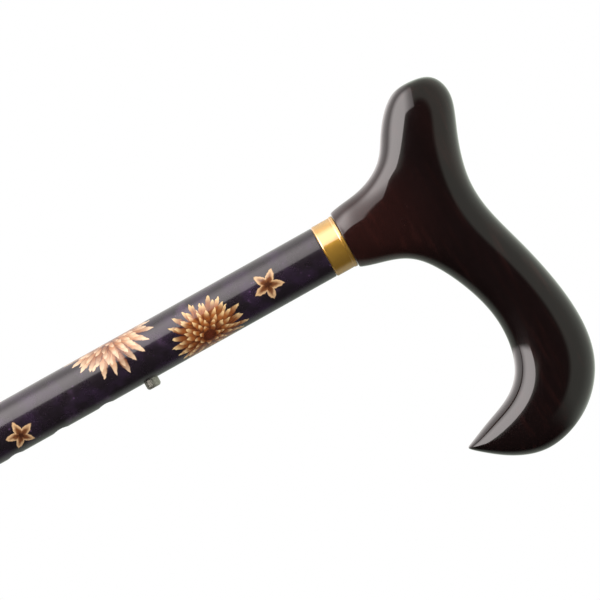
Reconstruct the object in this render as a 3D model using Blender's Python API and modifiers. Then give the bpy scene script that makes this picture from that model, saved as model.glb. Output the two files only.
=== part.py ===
"""Folding walking cane with a derby handle, built at real size.

The cane stands upright on its rubber tip. The origin is the centre of the tip's tread, +Z runs up
the shaft, +X points to the open side of the handle's hook and the snap button faces +X too.

From the top: a lacquered wooden derby handle, screwed to a stud; a brass band; the printed outer
tube with its row of height holes; the inner tube with the sprung snap button; and three fold joints.
Each fold joint is a waisted plug that seats in the tube above it. A cable runs through the plug to
a stop, which a compression spring pushes up inside the tube above, so the joint pulls itself shut.
To fold, the lower section is pulled down against that spring and swung up beside the upper one.
"""
import math

import bmesh
import bpy
from mathutils import Matrix, Vector

# Fits
GAP = 0.0003                    # between faces that meet
SLIDE_FIT = 0.00035             # between the inner tube and the outer tube, on the radius
PRESS_GAP = 0.00025             # between a ring and the tube that it sits on, on the radius
BORE_FIT = 0.0003               # between a piece and the tube bore that holds it, on the radius
PIN_FIT = 0.0003                # round a rivet, the stud, the screw or the snap button
CABLE_FIT = 0.0004              # round the cable where it runs through a piece
FOLD_CLEARANCE = 0.0006         # half the least gap between two folded sections

# Broken edges
EDGE = 0.0004                   # on rings and sleeves
LEAD_IN = 0.0010                # on an end that is pushed into a bore

# Tubes
TUBE_OD = 0.0175
TUBE_WALL = 0.0012
OUTER_WALL = 0.0009

# Lengths along the shaft
SECTION_4 = 0.190               # floor to the lowest fold joint
SECTION_3 = 0.175
SECTION_2 = 0.175
INNER_SHOWN = 0.024             # inner tube that shows under the outer tube at the shortest setting
OUTER_SHOWN = 0.205             # outer tube from its end to the brass band
BAND_HEIGHT = 0.0088

# Height adjustment
BUTTON_BELOW_BAND = 0.0785      # shortest setting
HOLE_PITCH = 0.01905
HOLE_ABOVE_BUSH = 0.004
BUTTON_RADIUS = 0.0028
BUTTON_STANDS_OUT = 0.0031      # beyond the outer tube
BUTTON_EDGE = 0.0007
INNER_ABOVE_BUTTON = 0.020
CLIP_WIDTH = 0.0066
CLIP_THICKNESS = 0.0006
CLIP_ABOVE_BUTTON = 0.007
CLIP_LENGTH = 0.042
CLIP_BEND_RADIUS = 0.0023
GUIDE_FLANGE = 0.003
GUIDE_SPIGOT = 0.007
GUIDE_WALL = 0.0016
GUIDE_PROUD = 0.0001            # of the inner tube, on the radius
BUSH_WALL = 0.0008
BUSH_LIP = 0.003
BUSH_COVER = 0.0065

# Fold joints
JOINT_COLLAR_WALL = 0.0009
JOINT_COLLAR_HEIGHT = 0.014
COLLAR_BEAD = 0.00025
COLLAR_BEAD_HEIGHT = 0.0016
PLUG_FIT = 0.00055              # between the plug's guide bands and the bore, on the radius
PLUG_WAIST = 0.0016             # how far the waist is drawn in
PLUG_BAND_AT = 0.011            # height of the upper guide band over the joint
PLUG_NOSE = 0.010               # length of the ellipse that the nose is part of
PLUG_NOSE_KEPT = 0.9            # share of it before the flat end
PLUG_MOUTH = 0.0009             # countersink round the cable
PLUG_FLANGE = 0.0015
PLUG_SPIGOT = 0.026
SEAT_ABOVE_PLUG = 0.0025
SEAT_HEIGHT = 0.008
SEAT_FLARE = 0.0016             # of the seat's mouth, on the radius
RIVET_RADIUS = 0.0012
RIVET_LENGTH = 0.0030
RIVET_SUNK = 0.00015
PLUG_RIVET_BELOW = 0.013
SPRING_LENGTH = 0.052
SPRING_CURLS = 7
SPRING_END_PITCH = 0.4          # pitch of the end curls, as a share of the others'
SPRING_WIRE = 0.0012
SPRING_PLAY = 0.00195           # between the spring and the bore, on the radius
STOP_FLANGE = 0.002
STOP_PLAY = 0.0011              # between the stop's flange and the bore, on the radius
STOP_SLEEVE = 0.009
SLEEVE_WALL = 0.0013
CABLE_RADIUS = 0.0012
CABLE_SHORT = 0.0005            # how far the cable's ends lie inside the stop and the ferrule
FERRULE_HEIGHT = 0.008
FOLD_HEIGHT = 0.009             # of the fold's axis over the joint
FOLD_SIDES = ((0.0, -1.0), (-1.0, 0.0), (0.0, -1.0))

# Rubber tip
TIP_FOOT_RADIUS = 0.016
TIP_FOOT_HEIGHT = 0.008
TIP_FOOT_BEVEL = 0.0018
TIP_SHOULDER = 0.0022           # how far the body stands back from the foot
TIP_WALL = 0.0024               # at the mouth
TIP_HEIGHT = 0.044
TIP_SOLE = 0.008
TIP_RIB = 0.0007
TIP_RIB_HEIGHT = 0.003
TIP_RIB_PITCH = 0.0080
TIP_RIBS_BELOW_MOUTH = 0.006
TREAD_RIM = 0.001
TREAD_DEPTH = 0.0012
TREAD_PITCH = 0.0044
TREAD_PAD_RADIUS = 0.0050
WASHER_THICKNESS = 0.0015

# Brass band and the handle's fixing
BAND_PROUD = 0.0002             # of the outer tube, on the radius
BAND_BEAD = 0.0002
BAND_BEAD_HEIGHT = 0.0012
STUD_IN_TUBE = 0.034
STUD_NECK_RADIUS = 0.0068
SCREW_RADIUS = 0.0022
SCREW_POINT = 0.006
SCREW_HEAD_RADIUS = 0.0046
SCREW_HEAD_HEIGHT = 0.0030
SCREW_PAST_STUD = 0.010
SCREW_COVER = 0.0045            # wood over the screw's point

# Handle
HANDLE_NOSE = 0.0397            # reach of the nose from the shaft's axis
HANDLE_REACH = 0.1034           # reach of the hook from the shaft's axis
HANDLE_HEIGHT = 0.0620          # from the band to the top of the bar
HANDLE_THICKNESS = 0.0232
HANDLE_SADDLE = 0.807           # the bar's top over the shaft, as a share of the height
HANDLE_SQUARE = 0.80            # shoulder of the bar's section: 0.71 is round, 1 is square
NECK_LENGTH = 0.0150            # from the band to where the neck runs into the bar
NECK_PROUD = 0.0019             # of the outer tube, on the radius
NECK_FLARE = 0.0014             # how far the neck widens up to the bar
NECK_FRONT_FLARE = 2.6          # flare on the hook's side, as a share of that
NECK_THICKNESS = 0.97           # as a share of the handle's
NECK_MIDDLE = 0.35              # height of the neck's middle ring, as a share of its length
NECK_FROM = 3                   # stations of the bar between which the neck leaves it
NECK_TO = 5
ROUND_SHOULDER = math.sqrt(0.5)

# Facets round a turned piece
STEPS = 24
SMALL_STEPS = 16
HOLE_STEPS = 12

# Radii that follow from the tubes
TUBE_RADIUS = TUBE_OD / 2
BORE_RADIUS = TUBE_RADIUS - TUBE_WALL
OUTER_BORE = TUBE_RADIUS + SLIDE_FIT
OUTER_RADIUS = OUTER_BORE + OUTER_WALL
HELD_RADIUS = BORE_RADIUS - BORE_FIT
STUD_RADIUS = OUTER_BORE - BORE_FIT
PLUG_BAND = BORE_RADIUS - PLUG_FIT
COLLAR_RADIUS = TUBE_RADIUS + PRESS_GAP + JOINT_COLLAR_WALL + COLLAR_BEAD
BUTTON_HOLE = BUTTON_RADIUS + PIN_FIT
CABLE_HOLE = CABLE_RADIUS + CABLE_FIT
SLEEVE_RADIUS = CABLE_HOLE + SLEEVE_WALL

# Heights over the floor
SEAM_3 = SECTION_4
SEAM_2 = SEAM_3 + SECTION_3
SEAM_1 = SEAM_2 + SECTION_2
OUTER_BOTTOM = SEAM_1 + INNER_SHOWN
BAND_BOTTOM = OUTER_BOTTOM + OUTER_SHOWN
BUTTON_HEIGHT = BAND_BOTTOM - BUTTON_BELOW_BAND
INNER_TOP = BUTTON_HEIGHT + INNER_ABOVE_BUTTON
HANDLE_BOTTOM = BAND_BOTTOM + BAND_HEIGHT + GAP

# Sizes that follow from the pieces round them
PLUG_LENGTH = PLUG_BAND_AT + PLUG_NOSE_KEPT * PLUG_NOSE
STUD_IN_HANDLE = HANDLE_SADDLE * HANDLE_HEIGHT - SCREW_COVER - SCREW_PAST_STUD
HOLE_COUNT = 1 + int((BUTTON_HEIGHT - OUTER_BOTTOM - BUSH_COVER - HOLE_ABOVE_BUSH) / HOLE_PITCH)
NEXT_TO_HANDLE = (COLLAR_RADIUS + HANDLE_THICKNESS / 2) / 2 + FOLD_CLEARANCE
NEXT_TO_TIP = (COLLAR_RADIUS + TIP_FOOT_RADIUS) / 2 + FOLD_CLEARANCE
FOLD_OFFSETS = (NEXT_TO_HANDLE, NEXT_TO_TIP, NEXT_TO_TIP)


# Scene and materials

def clear_scene():
    """Remove every object that the file starts with."""
    for item in list(bpy.data.objects):
        bpy.data.objects.remove(item, do_unlink=True)


def new_collection(name):
    """Make a collection in the scene."""
    made = bpy.data.collections.new(name)
    bpy.context.scene.collection.children.link(made)
    return made


def finish(name, colour, roughness, metallic=0.0, coat=0.0):
    """Make a Principled material for one sub-part."""
    made = bpy.data.materials.new(name)
    made.use_nodes = True
    shader = made.node_tree.nodes["Principled BSDF"]
    shader.inputs["Base Color"].default_value = (*colour, 1.0)
    shader.inputs["Roughness"].default_value = roughness
    shader.inputs["Metallic"].default_value = metallic
    shader.inputs["Coat Weight"].default_value = coat
    made.diffuse_color = (*colour, 1.0)
    return made


def printed_metal(name):
    """Gloss print on the tubes: a purple black ground."""
    return finish(name, (0.020, 0.012, 0.028), 0.16, coat=0.6)


def lacquered_wood(name):
    """Dark mahogany under clear lacquer."""
    return finish(name, (0.014, 0.005, 0.005), 0.12, coat=0.8)


def brass(name):
    """Polished brass."""
    return finish(name, (0.78, 0.53, 0.20), 0.22, metallic=1.0)


def steel(name):
    """Bright drawn steel."""
    return finish(name, (0.55, 0.55, 0.54), 0.28, metallic=1.0)


def dark_steel(name):
    """Blackened steel, as on the snap button."""
    return finish(name, (0.10, 0.10, 0.085), 0.34, metallic=0.9)


def aluminium(name):
    """Plain drawn aluminium."""
    return finish(name, (0.72, 0.72, 0.73), 0.38, metallic=1.0)


def nylon(name):
    """Black moulded nylon."""
    return finish(name, (0.018, 0.018, 0.019), 0.42)


def rubber(name):
    """Black moulded rubber."""
    return finish(name, (0.022, 0.022, 0.022), 0.72)


# Objects, parents and modifiers

def world_place(item):
    """Where an object's origin stands in the world, from its parents' places."""
    here = Vector(item.location)
    while item.parent:
        item = item.parent
        here += item.location
    return here


def put(item, place, parent=None):
    """Link an object to the cane at a place in the world, under a parent."""
    PART.objects.link(item)
    item.location = Vector(place)
    if parent:
        item.location -= world_place(parent)
        item.parent = parent


def axis_empty(name, place, parent=None):
    """An empty on a joint's axis, which carries the pieces that move with it."""
    made = bpy.data.objects.new(name, None)
    made.empty_display_size = 0.02
    put(made, place, parent)
    return made


def add_mesh(name, mesh, material, place, parent):
    """Link a mesh as one named sub-part."""
    made = bpy.data.objects.new(name, mesh)
    made.data.materials.append(material(name))
    put(made, place, parent)
    return made


def screw(item, steps):
    """Turn an object's profile about its own Z axis."""
    turn = item.modifiers.new("turned", "SCREW")
    turn.axis = "Z"
    turn.angle = 2 * math.pi
    turn.steps = steps
    turn.render_steps = steps
    turn.use_merge_vertices = True
    turn.merge_threshold = 0.000001
    turn.use_smooth_shade = True


def turned(name, profile, material, place, parent, closed=True, steps=STEPS):
    """A turned piece. The profile is (radius, height) points, down the outer side first."""
    mesh = bpy.data.meshes.new(name)
    edges = [(i, i + 1) for i in range(len(profile) - 1)]
    if closed:
        edges.append((len(profile) - 1, 0))
    mesh.from_pydata([(radius, 0.0, height) for radius, height in profile], edges, [])
    made = add_mesh(name, mesh, material, place, parent)
    screw(made, steps)
    return made


def pipe(name, radius, bore, length, material, place, parent, steps=STEPS):
    """A plain tube from its lower end up."""
    profile = [(radius, length), (radius, 0.0), (bore, 0.0), (bore, length)]
    return turned(name, profile, material, place, parent, steps=steps)


def sleeve(name, radius, bore, length, material, place, parent):
    """A short sleeve with broken outer edges, from its lower end up."""
    profile = [
        (radius - EDGE, length),
        (radius, length - EDGE),
        (radius, EDGE),
        (radius - EDGE, 0.0),
        (bore, 0.0),
        (bore, length),
    ]
    return turned(name, profile, material, place, parent, steps=SMALL_STEPS)


def cylinder_mesh(name, radius, length, steps):
    """A closed cylinder along +Z that starts at the origin."""
    shape = bmesh.new()
    lift = Matrix.Translation((0.0, 0.0, length / 2))
    bmesh.ops.create_cone(
        shape, cap_ends=True, segments=steps, radius1=radius, radius2=radius, depth=length, matrix=lift
    )
    mesh = bpy.data.meshes.new(name)
    shape.to_mesh(mesh)
    shape.free()
    return mesh


def aim(item, direction):
    """Turn an object so that its own Z axis points along a direction."""
    item.rotation_euler = Vector(direction).to_track_quat("Z", "Y").to_euler()


def round_cutter(name, radius, length, place, direction):
    """A cylinder in the cutters' collection, from a place along a direction."""
    made = bpy.data.objects.new(name, cylinder_mesh(name, radius, length, HOLE_STEPS))
    made.location = Vector(place)
    aim(made, direction)
    made.hide_render = True
    made.display_type = "WIRE"
    CUTTERS.objects.link(made)
    return made


def cut(item, cutter):
    """Cut one object with another."""
    step = item.modifiers.new(cutter.name, "BOOLEAN")
    step.operation = "DIFFERENCE"
    step.object = cutter


def beaded_band(side, bore, height, bead, bead_height, bead_at_foot):
    """The profile of a thin band with a raised bead at its top edge and, if asked, at its foot."""
    points = [
        (side, height),
        (side + bead, height - bead),
        (side + bead, height - bead_height),
        (side, height - bead_height - bead),
    ]
    if bead_at_foot:
        points += [(radius, height - level) for radius, level in reversed(points)]
    else:
        points += [(side, EDGE), (side - EDGE, 0.0)]
    return points + [(bore, 0.0), (bore, height)]


# Rubber tip

def tread_profile():
    """The tread from its rim inwards: round grooves, then a flat pad at the centre."""
    points = [(TIP_FOOT_RADIUS - TREAD_RIM, 0.0)]
    groove = TIP_FOOT_RADIUS - TREAD_RIM - TREAD_PITCH / 2
    while groove - TREAD_PITCH / 4 > TREAD_PAD_RADIUS:
        points.append((groove + TREAD_PITCH / 4, 0.0))
        points.append((groove + TREAD_PITCH / 8, TREAD_DEPTH))
        points.append((groove - TREAD_PITCH / 8, TREAD_DEPTH))
        points.append((groove - TREAD_PITCH / 4, 0.0))
        groove -= TREAD_PITCH
    points.append((0.0, 0.0))
    return points


def tip_side():
    """The tip's outer side from its mouth down to the foot, with ribs round the body."""
    mouth = TUBE_RADIUS + PRESS_GAP + TIP_WALL
    body = TIP_FOOT_RADIUS - TIP_SHOULDER

    def side_radius(height):
        share = (height - TIP_FOOT_HEIGHT) / (TIP_HEIGHT - TIP_FOOT_HEIGHT)
        return body + (mouth - body) * math.sin(share * math.pi / 2)

    points = [(mouth - EDGE, TIP_HEIGHT), (mouth, TIP_HEIGHT - EDGE)]
    top = TIP_HEIGHT - TIP_RIBS_BELOW_MOUTH
    while top - TIP_RIB_PITCH > TIP_FOOT_HEIGHT + TIP_RIB_HEIGHT:
        foot = top - TIP_RIB_HEIGHT
        points.append((side_radius(top), top))
        points.append((side_radius(top) + TIP_RIB, top - TIP_RIB))
        points.append((side_radius(foot) + TIP_RIB, foot + TIP_RIB))
        points.append((side_radius(foot), foot))
        top -= TIP_RIB_PITCH
    points.append((body, TIP_FOOT_HEIGHT))
    points.append((TIP_FOOT_RADIUS, TIP_FOOT_HEIGHT - TIP_FOOT_BEVEL))
    points.append((TIP_FOOT_RADIUS, TREAD_RIM))
    return points


def rubber_tip(parent):
    """The rubber tip, and the steel washer in it that the lowest tube stands on."""
    bore = TUBE_RADIUS + PRESS_GAP
    cup = [(0.0, TIP_SOLE), (bore, TIP_SOLE), (bore, TIP_HEIGHT)]
    turned("rubber_tip", cup + tip_side() + tread_profile(), rubber, (0, 0, 0), parent, closed=False)
    foot = (0, 0, TIP_SOLE + GAP)
    sleeve("tip_washer", TUBE_RADIUS - GAP, CABLE_HOLE, WASHER_THICKNESS, steel, foot, parent)


# Fold joints

def plug_nose():
    """The plug's nose from its flat end down: part of an ellipse."""
    rows = 4
    reach = math.asin(PLUG_NOSE_KEPT)
    angles = [reach * (rows - i) / rows for i in range(rows)]
    return [
        (PLUG_BAND * math.cos(angle), PLUG_BAND_AT + PLUG_NOSE * math.sin(angle)) for angle in angles
    ]


def plug_waist():
    """The plug between its two guide bands, from the upper one down to the joint.

    The waist leaves room for the mouth of the tube as the plug rolls out of it.
    """
    rows = 4
    points = []
    for i in range(rows + 1):
        off_middle = 1 - 2 * i / rows
        radius = PLUG_BAND - PLUG_WAIST * (1 - off_middle ** 2)
        points.append((radius, PLUG_BAND_AT * (1 - i / rows)))
    return points


def plug_profile():
    """The plug from its nose down: nose, waist, flange between the tube ends, and spigot."""
    flange_foot = -GAP - PLUG_FLANGE
    return [
        (CABLE_HOLE + PLUG_MOUTH, PLUG_LENGTH),
        *plug_nose(),
        *plug_waist(),
        (PLUG_BAND, -GAP),
        (TUBE_RADIUS, -GAP),
        (TUBE_RADIUS, flange_foot),
        (HELD_RADIUS, flange_foot),
        (HELD_RADIUS, -PLUG_SPIGOT + LEAD_IN),
        (HELD_RADIUS - LEAD_IN, -PLUG_SPIGOT),
        (CABLE_HOLE, -PLUG_SPIGOT),
        (CABLE_HOLE, PLUG_LENGTH - PLUG_MOUTH),
    ]


def seat_profile():
    """The spring seat: a ring whose mouth flares so that the cable bends over a round edge."""
    return [
        (HELD_RADIUS - EDGE, SEAT_HEIGHT),
        (HELD_RADIUS, SEAT_HEIGHT - EDGE),
        (HELD_RADIUS, 0.0),
        (CABLE_HOLE + SEAT_FLARE, 0.0),
        (CABLE_HOLE + SEAT_FLARE / 3, SEAT_HEIGHT / 6),
        (CABLE_HOLE, SEAT_HEIGHT / 2),
        (CABLE_HOLE, SEAT_HEIGHT),
    ]


def stop_profile():
    """The cable stop: a flange that the spring pushes on, and the sleeve swaged on the cable."""
    flange = BORE_RADIUS - STOP_PLAY
    top = STOP_FLANGE + STOP_SLEEVE
    return [
        (SLEEVE_RADIUS - EDGE, top),
        (SLEEVE_RADIUS, top - EDGE),
        (SLEEVE_RADIUS, STOP_FLANGE),
        (flange, STOP_FLANGE),
        (flange, 0.0),
        (CABLE_HOLE, 0.0),
        (CABLE_HOLE, top),
    ]


def spring_height(turns):
    """How high the wire's centre lies after a number of turns, where the end curls lie closer."""
    def risen(count):
        ends = min(count, 1.0) + max(count - (SPRING_CURLS - 1), 0.0)
        return count - ends * (1 - SPRING_END_PITCH)

    return SPRING_WIRE / 2 + (SPRING_LENGTH - SPRING_WIRE) * risen(turns) / risen(SPRING_CURLS)


def spring_points(per_curl):
    """The points along a compression spring's wire."""
    radius = BORE_RADIUS - SPRING_PLAY - SPRING_WIRE / 2
    points = []
    for i in range(SPRING_CURLS * per_curl + 1):
        angle = 2 * math.pi * i / per_curl
        height = spring_height(i / per_curl)
        points.append(Vector((radius * math.cos(angle), radius * math.sin(angle), height)))
    return points


def wire(name, points, radius, material, place, parent, rings=2):
    """A round wire through points, as a mesh with welded ends."""
    curve = bpy.data.curves.new(name, "CURVE")
    curve.dimensions = "3D"
    curve.bevel_depth = radius
    curve.bevel_resolution = rings
    curve.use_fill_caps = True
    line = curve.splines.new("POLY")
    line.points.add(len(points) - 1)
    for knot, point in zip(line.points, points):
        knot.co = (*point, 1.0)
    guide = bpy.data.objects.new(name + "_path", curve)
    bpy.context.scene.collection.objects.link(guide)
    bpy.context.view_layer.update()
    shown = guide.evaluated_get(bpy.context.evaluated_depsgraph_get())
    mesh = bpy.data.meshes.new_from_object(shown)
    bpy.data.objects.remove(guide, do_unlink=True)
    shape = bmesh.new()
    shape.from_mesh(mesh)
    bmesh.ops.remove_doubles(shape, verts=shape.verts, dist=0.000001)
    shape.to_mesh(mesh)
    shape.free()
    return add_mesh(name, mesh, material, place, parent)


def cable_spring(name, place, parent):
    """The compression spring of one fold joint."""
    per_curl = 8
    points = spring_points(per_curl)
    apart = min((above - below).length for below, above in zip(points, points[per_curl:]))
    print(f"{name}: least gap between curls {(apart - SPRING_WIRE) * 1000:.2f} mm")
    wire(name, points, SPRING_WIRE / 2, steel, place, parent, rings=1)


def rivet(name, height, parent, owners):
    """A flush rivet through a tube's wall into the piece inside it."""
    inner_end = TUBE_RADIUS - RIVET_SUNK - RIVET_LENGTH
    mesh = cylinder_mesh(name, RIVET_RADIUS, RIVET_LENGTH, HOLE_STEPS)
    aim(add_mesh(name, mesh, steel, (0.0, inner_end, height), parent), (0.0, 1.0, 0.0))
    start = (0.0, inner_end - GAP, height)
    cutter = round_cutter(name + "_hole", RIVET_RADIUS + PIN_FIT, 2 * RIVET_LENGTH, start, (0.0, 1.0, 0.0))
    for owner in owners:
        cut(owner, cutter)


def joint_upper_half(number, seam, tube, upper):
    """What the tube above a fold joint carries: collar, spring seat with its rivet, and spring.

    Gives the height of the cable stop's foot.
    """
    side = TUBE_RADIUS + PRESS_GAP + JOINT_COLLAR_WALL
    bore = TUBE_RADIUS + PRESS_GAP
    band = beaded_band(side, bore, JOINT_COLLAR_HEIGHT, COLLAR_BEAD, COLLAR_BEAD_HEIGHT, True)
    turned(f"joint_collar_{number}", band, brass, (0, 0, seam), upper)
    seat_foot = seam + PLUG_LENGTH + SEAT_ABOVE_PLUG
    ring = turned(
        f"spring_seat_{number}", seat_profile(), nylon, (0, 0, seat_foot), upper, steps=SMALL_STEPS
    )
    rivet(f"seat_rivet_{number}", seat_foot + SEAT_HEIGHT / 2, upper, (tube, ring))
    spring_foot = seat_foot + SEAT_HEIGHT + GAP
    cable_spring(f"cable_spring_{number}", (0, 0, spring_foot), upper)
    return spring_foot + SPRING_LENGTH + GAP


def joint_cable(number, seam, stop_foot, slider):
    """What slides in the tube above: the stop and the cable that it holds."""
    turned(f"cable_stop_{number}", stop_profile(), steel, (0, 0, stop_foot), slider, steps=SMALL_STEPS)
    top = stop_foot + STOP_FLANGE + STOP_SLEEVE - CABLE_SHORT
    foot = seam - PLUG_SPIGOT - GAP - FERRULE_HEIGHT + CABLE_SHORT
    run = [Vector((0.0, 0.0, 0.0)), Vector((0.0, 0.0, top - foot))]
    wire(f"pull_cable_{number}", run, CABLE_RADIUS, steel, (0, 0, foot), slider)


def joint_lower_half(number, seam, tube, lower):
    """What the section below carries: the plug, its rivet and the ferrule on the cable's end."""
    plug = turned(f"joint_plug_{number}", plug_profile(), nylon, (0, 0, seam), lower)
    rivet(f"plug_rivet_{number}", seam - PLUG_RIVET_BELOW, lower, (tube, plug))
    foot = (0, 0, seam - PLUG_SPIGOT - GAP - FERRULE_HEIGHT)
    pipe(f"cable_ferrule_{number}", SLEEVE_RADIUS, CABLE_HOLE, FERRULE_HEIGHT, steel, foot, lower, HOLE_STEPS)


def fold_joint(number, seam, upper_tube, upper):
    """A whole fold joint but for the section below it. Gives the empty that carries that section."""
    stop_foot = joint_upper_half(number, seam, upper_tube, upper)
    slider = axis_empty(f"cable_pull_{number}_axis", (0, 0, seam), upper)
    joint_cable(number, seam, stop_foot, slider)
    offset = FOLD_OFFSETS[number - 1]
    side_x, side_y = FOLD_SIDES[number - 1]
    pivot = (side_x * offset, side_y * offset, seam + FOLD_HEIGHT)
    return axis_empty(f"fold_{number}_axis", pivot, slider)


def section_tube(number, foot, seam, parent):
    """A lower section's tube, from its foot to the flange of the plug in its top end."""
    length = seam - 2 * GAP - PLUG_FLANGE - foot
    return pipe(f"tube_{number}", TUBE_RADIUS, BORE_RADIUS, length, printed_metal, (0, 0, foot), parent)


# Height adjustment

def outer_tube(parent):
    """The printed outer tube with its row of height holes on the hook's side."""
    length = OUTER_SHOWN - GAP
    foot = (0, 0, OUTER_BOTTOM)
    tube = pipe("outer_tube", OUTER_RADIUS, OUTER_BORE, length, printed_metal, foot, parent)
    for i in range(HOLE_COUNT):
        start = (TUBE_RADIUS / 2, 0.0, BUTTON_HEIGHT - i * HOLE_PITCH)
        cut(tube, round_cutter(f"height_hole_{i + 1}", BUTTON_HOLE, OUTER_RADIUS, start, (1.0, 0.0, 0.0)))


def outer_tube_bush(parent):
    """The moulded bush on the outer tube's lower end, which steadies the inner tube."""
    cover = OUTER_RADIUS + PRESS_GAP
    side = cover + BUSH_WALL
    profile = [
        (side - EDGE, BUSH_COVER),
        (side, BUSH_COVER - EDGE),
        (side, -BUSH_LIP + BUSH_WALL),
        (side - BUSH_WALL, -BUSH_LIP),
        (OUTER_BORE, -BUSH_LIP),
        (OUTER_BORE, -GAP),
        (cover, -GAP),
        (cover, BUSH_COVER),
    ]
    turned("outer_tube_bush", profile, nylon, (0, 0, OUTER_BOTTOM), parent)


def inner_tube(parent):
    """The inner tube that slides in the outer one, with the button's hole."""
    length = INNER_TOP - SEAM_1
    tube = pipe("inner_tube", TUBE_RADIUS, BORE_RADIUS, length, printed_metal, (0, 0, SEAM_1), parent)
    start = (BORE_RADIUS / 2, 0.0, BUTTON_HEIGHT)
    cut(tube, round_cutter("button_hole", BUTTON_HOLE, TUBE_RADIUS, start, (1.0, 0.0, 0.0)))
    return tube


def inner_tube_guide(parent):
    """The nylon guide in the inner tube's top end, which runs in the outer tube."""
    rim = TUBE_RADIUS + GUIDE_PROUD
    bore = HELD_RADIUS - GUIDE_WALL
    profile = [
        (rim - EDGE, GUIDE_FLANGE),
        (rim, GUIDE_FLANGE - EDGE),
        (rim, 0.0),
        (HELD_RADIUS, 0.0),
        (HELD_RADIUS, -GUIDE_SPIGOT),
        (bore, -GUIDE_SPIGOT),
        (bore, GUIDE_FLANGE),
    ]
    turned("inner_tube_guide", profile, nylon, (0, 0, INNER_TOP + GAP), parent)


def clip_leg_x():
    """How far from the axis the clip's leg lies: its edges just clear the bore."""
    reach = math.sqrt(HELD_RADIUS ** 2 - (CLIP_WIDTH / 2) ** 2)
    return reach - CLIP_THICKNESS - GAP


def clip_line():
    """The clip's bent strip in the XZ plane: two legs that meet in a round bend at the bottom."""
    turns = 8
    leg = clip_leg_x()
    bend_height = CLIP_ABOVE_BUTTON + CLIP_BEND_RADIUS - CLIP_LENGTH
    angles = [math.pi * i / turns for i in range(turns + 1)]
    bend = [
        (CLIP_BEND_RADIUS * math.cos(angle), bend_height - CLIP_BEND_RADIUS * math.sin(angle))
        for angle in angles
    ]
    front = [(leg, CLIP_ABOVE_BUTTON), (leg, -CLIP_ABOVE_BUTTON)]
    return [*front, *bend, (-leg, -CLIP_ABOVE_BUTTON), (-leg, 0.0)]


def button_spring(parent):
    """The bent spring clip behind the snap button: a strip with thickness."""
    line = clip_line()
    half = CLIP_WIDTH / 2
    points = [(x, side, z) for x, z in line for side in (-half, half)]
    faces = [(2 * i, 2 * i + 1, 2 * i + 3, 2 * i + 2) for i in range(len(line) - 1)]
    mesh = bpy.data.meshes.new("button_spring")
    mesh.from_pydata(points, [], faces)
    made = add_mesh("button_spring", mesh, steel, (0, 0, BUTTON_HEIGHT), parent)
    wall = made.modifiers.new("strip", "SOLIDIFY")
    wall.thickness = CLIP_THICKNESS
    wall.offset = 0.0
    wall.use_even_offset = True


def snap_button(parent):
    """The button, which stands on the clip and reaches out through both tubes."""
    base = clip_leg_x() + CLIP_THICKNESS / 2 + GAP
    length = OUTER_RADIUS + BUTTON_STANDS_OUT - base
    profile = [
        (0.0, length),
        (BUTTON_RADIUS - 2 * BUTTON_EDGE, length - BUTTON_EDGE / 10),
        (BUTTON_RADIUS - BUTTON_EDGE / 2, length - BUTTON_EDGE / 2),
        (BUTTON_RADIUS, length - 1.5 * BUTTON_EDGE),
        (BUTTON_RADIUS, 0.0),
        (0.0, 0.0),
    ]
    place = (base, 0, BUTTON_HEIGHT)
    aim(turned("snap_button", profile, dark_steel, place, parent, False, SMALL_STEPS), (1.0, 0.0, 0.0))


# Brass band, stud and screw

def collar_band(parent):
    """The brass band between the printed tube and the handle, with a rolled upper edge."""
    side = OUTER_RADIUS + BAND_PROUD
    bore = STUD_RADIUS + PRESS_GAP
    band = beaded_band(side, bore, BAND_HEIGHT, BAND_BEAD, BAND_BEAD_HEIGHT, False)
    turned("collar_band", band, brass, (0, 0, BAND_BOTTOM), parent)


def handle_stud(parent):
    """The stepped stud that joins the handle to the outer tube, bored for the screw."""
    top = BAND_HEIGHT + STUD_IN_HANDLE
    hole = SCREW_RADIUS + PIN_FIT
    sink = SCREW_HEAD_RADIUS + PIN_FIT
    sink_top = SCREW_HEAD_HEIGHT + GAP - STUD_IN_TUBE
    profile = [
        (STUD_NECK_RADIUS - LEAD_IN, top),
        (STUD_NECK_RADIUS, top - LEAD_IN),
        (STUD_NECK_RADIUS, BAND_HEIGHT),
        (STUD_RADIUS, BAND_HEIGHT),
        (STUD_RADIUS, LEAD_IN - STUD_IN_TUBE),
        (STUD_RADIUS - LEAD_IN, -STUD_IN_TUBE),
        (sink, -STUD_IN_TUBE),
        (sink, sink_top),
        (hole, sink_top),
        (hole, top),
    ]
    turned("handle_stud", profile, aluminium, (0, 0, BAND_BOTTOM), parent, steps=SMALL_STEPS)


def handle_screw(parent):
    """The wood screw that draws the handle down on the stud."""
    top = STUD_IN_TUBE + BAND_HEIGHT + STUD_IN_HANDLE + SCREW_PAST_STUD
    profile = [
        (0.0, top),
        (SCREW_RADIUS / 3, top - SCREW_POINT / 4),
        (SCREW_RADIUS, top - SCREW_POINT),
        (SCREW_RADIUS, SCREW_HEAD_HEIGHT),
        (SCREW_HEAD_RADIUS, SCREW_HEAD_HEIGHT),
        (SCREW_HEAD_RADIUS, EDGE),
        (SCREW_HEAD_RADIUS - EDGE, 0.0),
        (0.0, 0.0),
    ]
    turned("handle_screw", profile, steel, (0, 0, BAND_BOTTOM - STUD_IN_TUBE), parent, False, SMALL_STEPS)


# Handle

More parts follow.
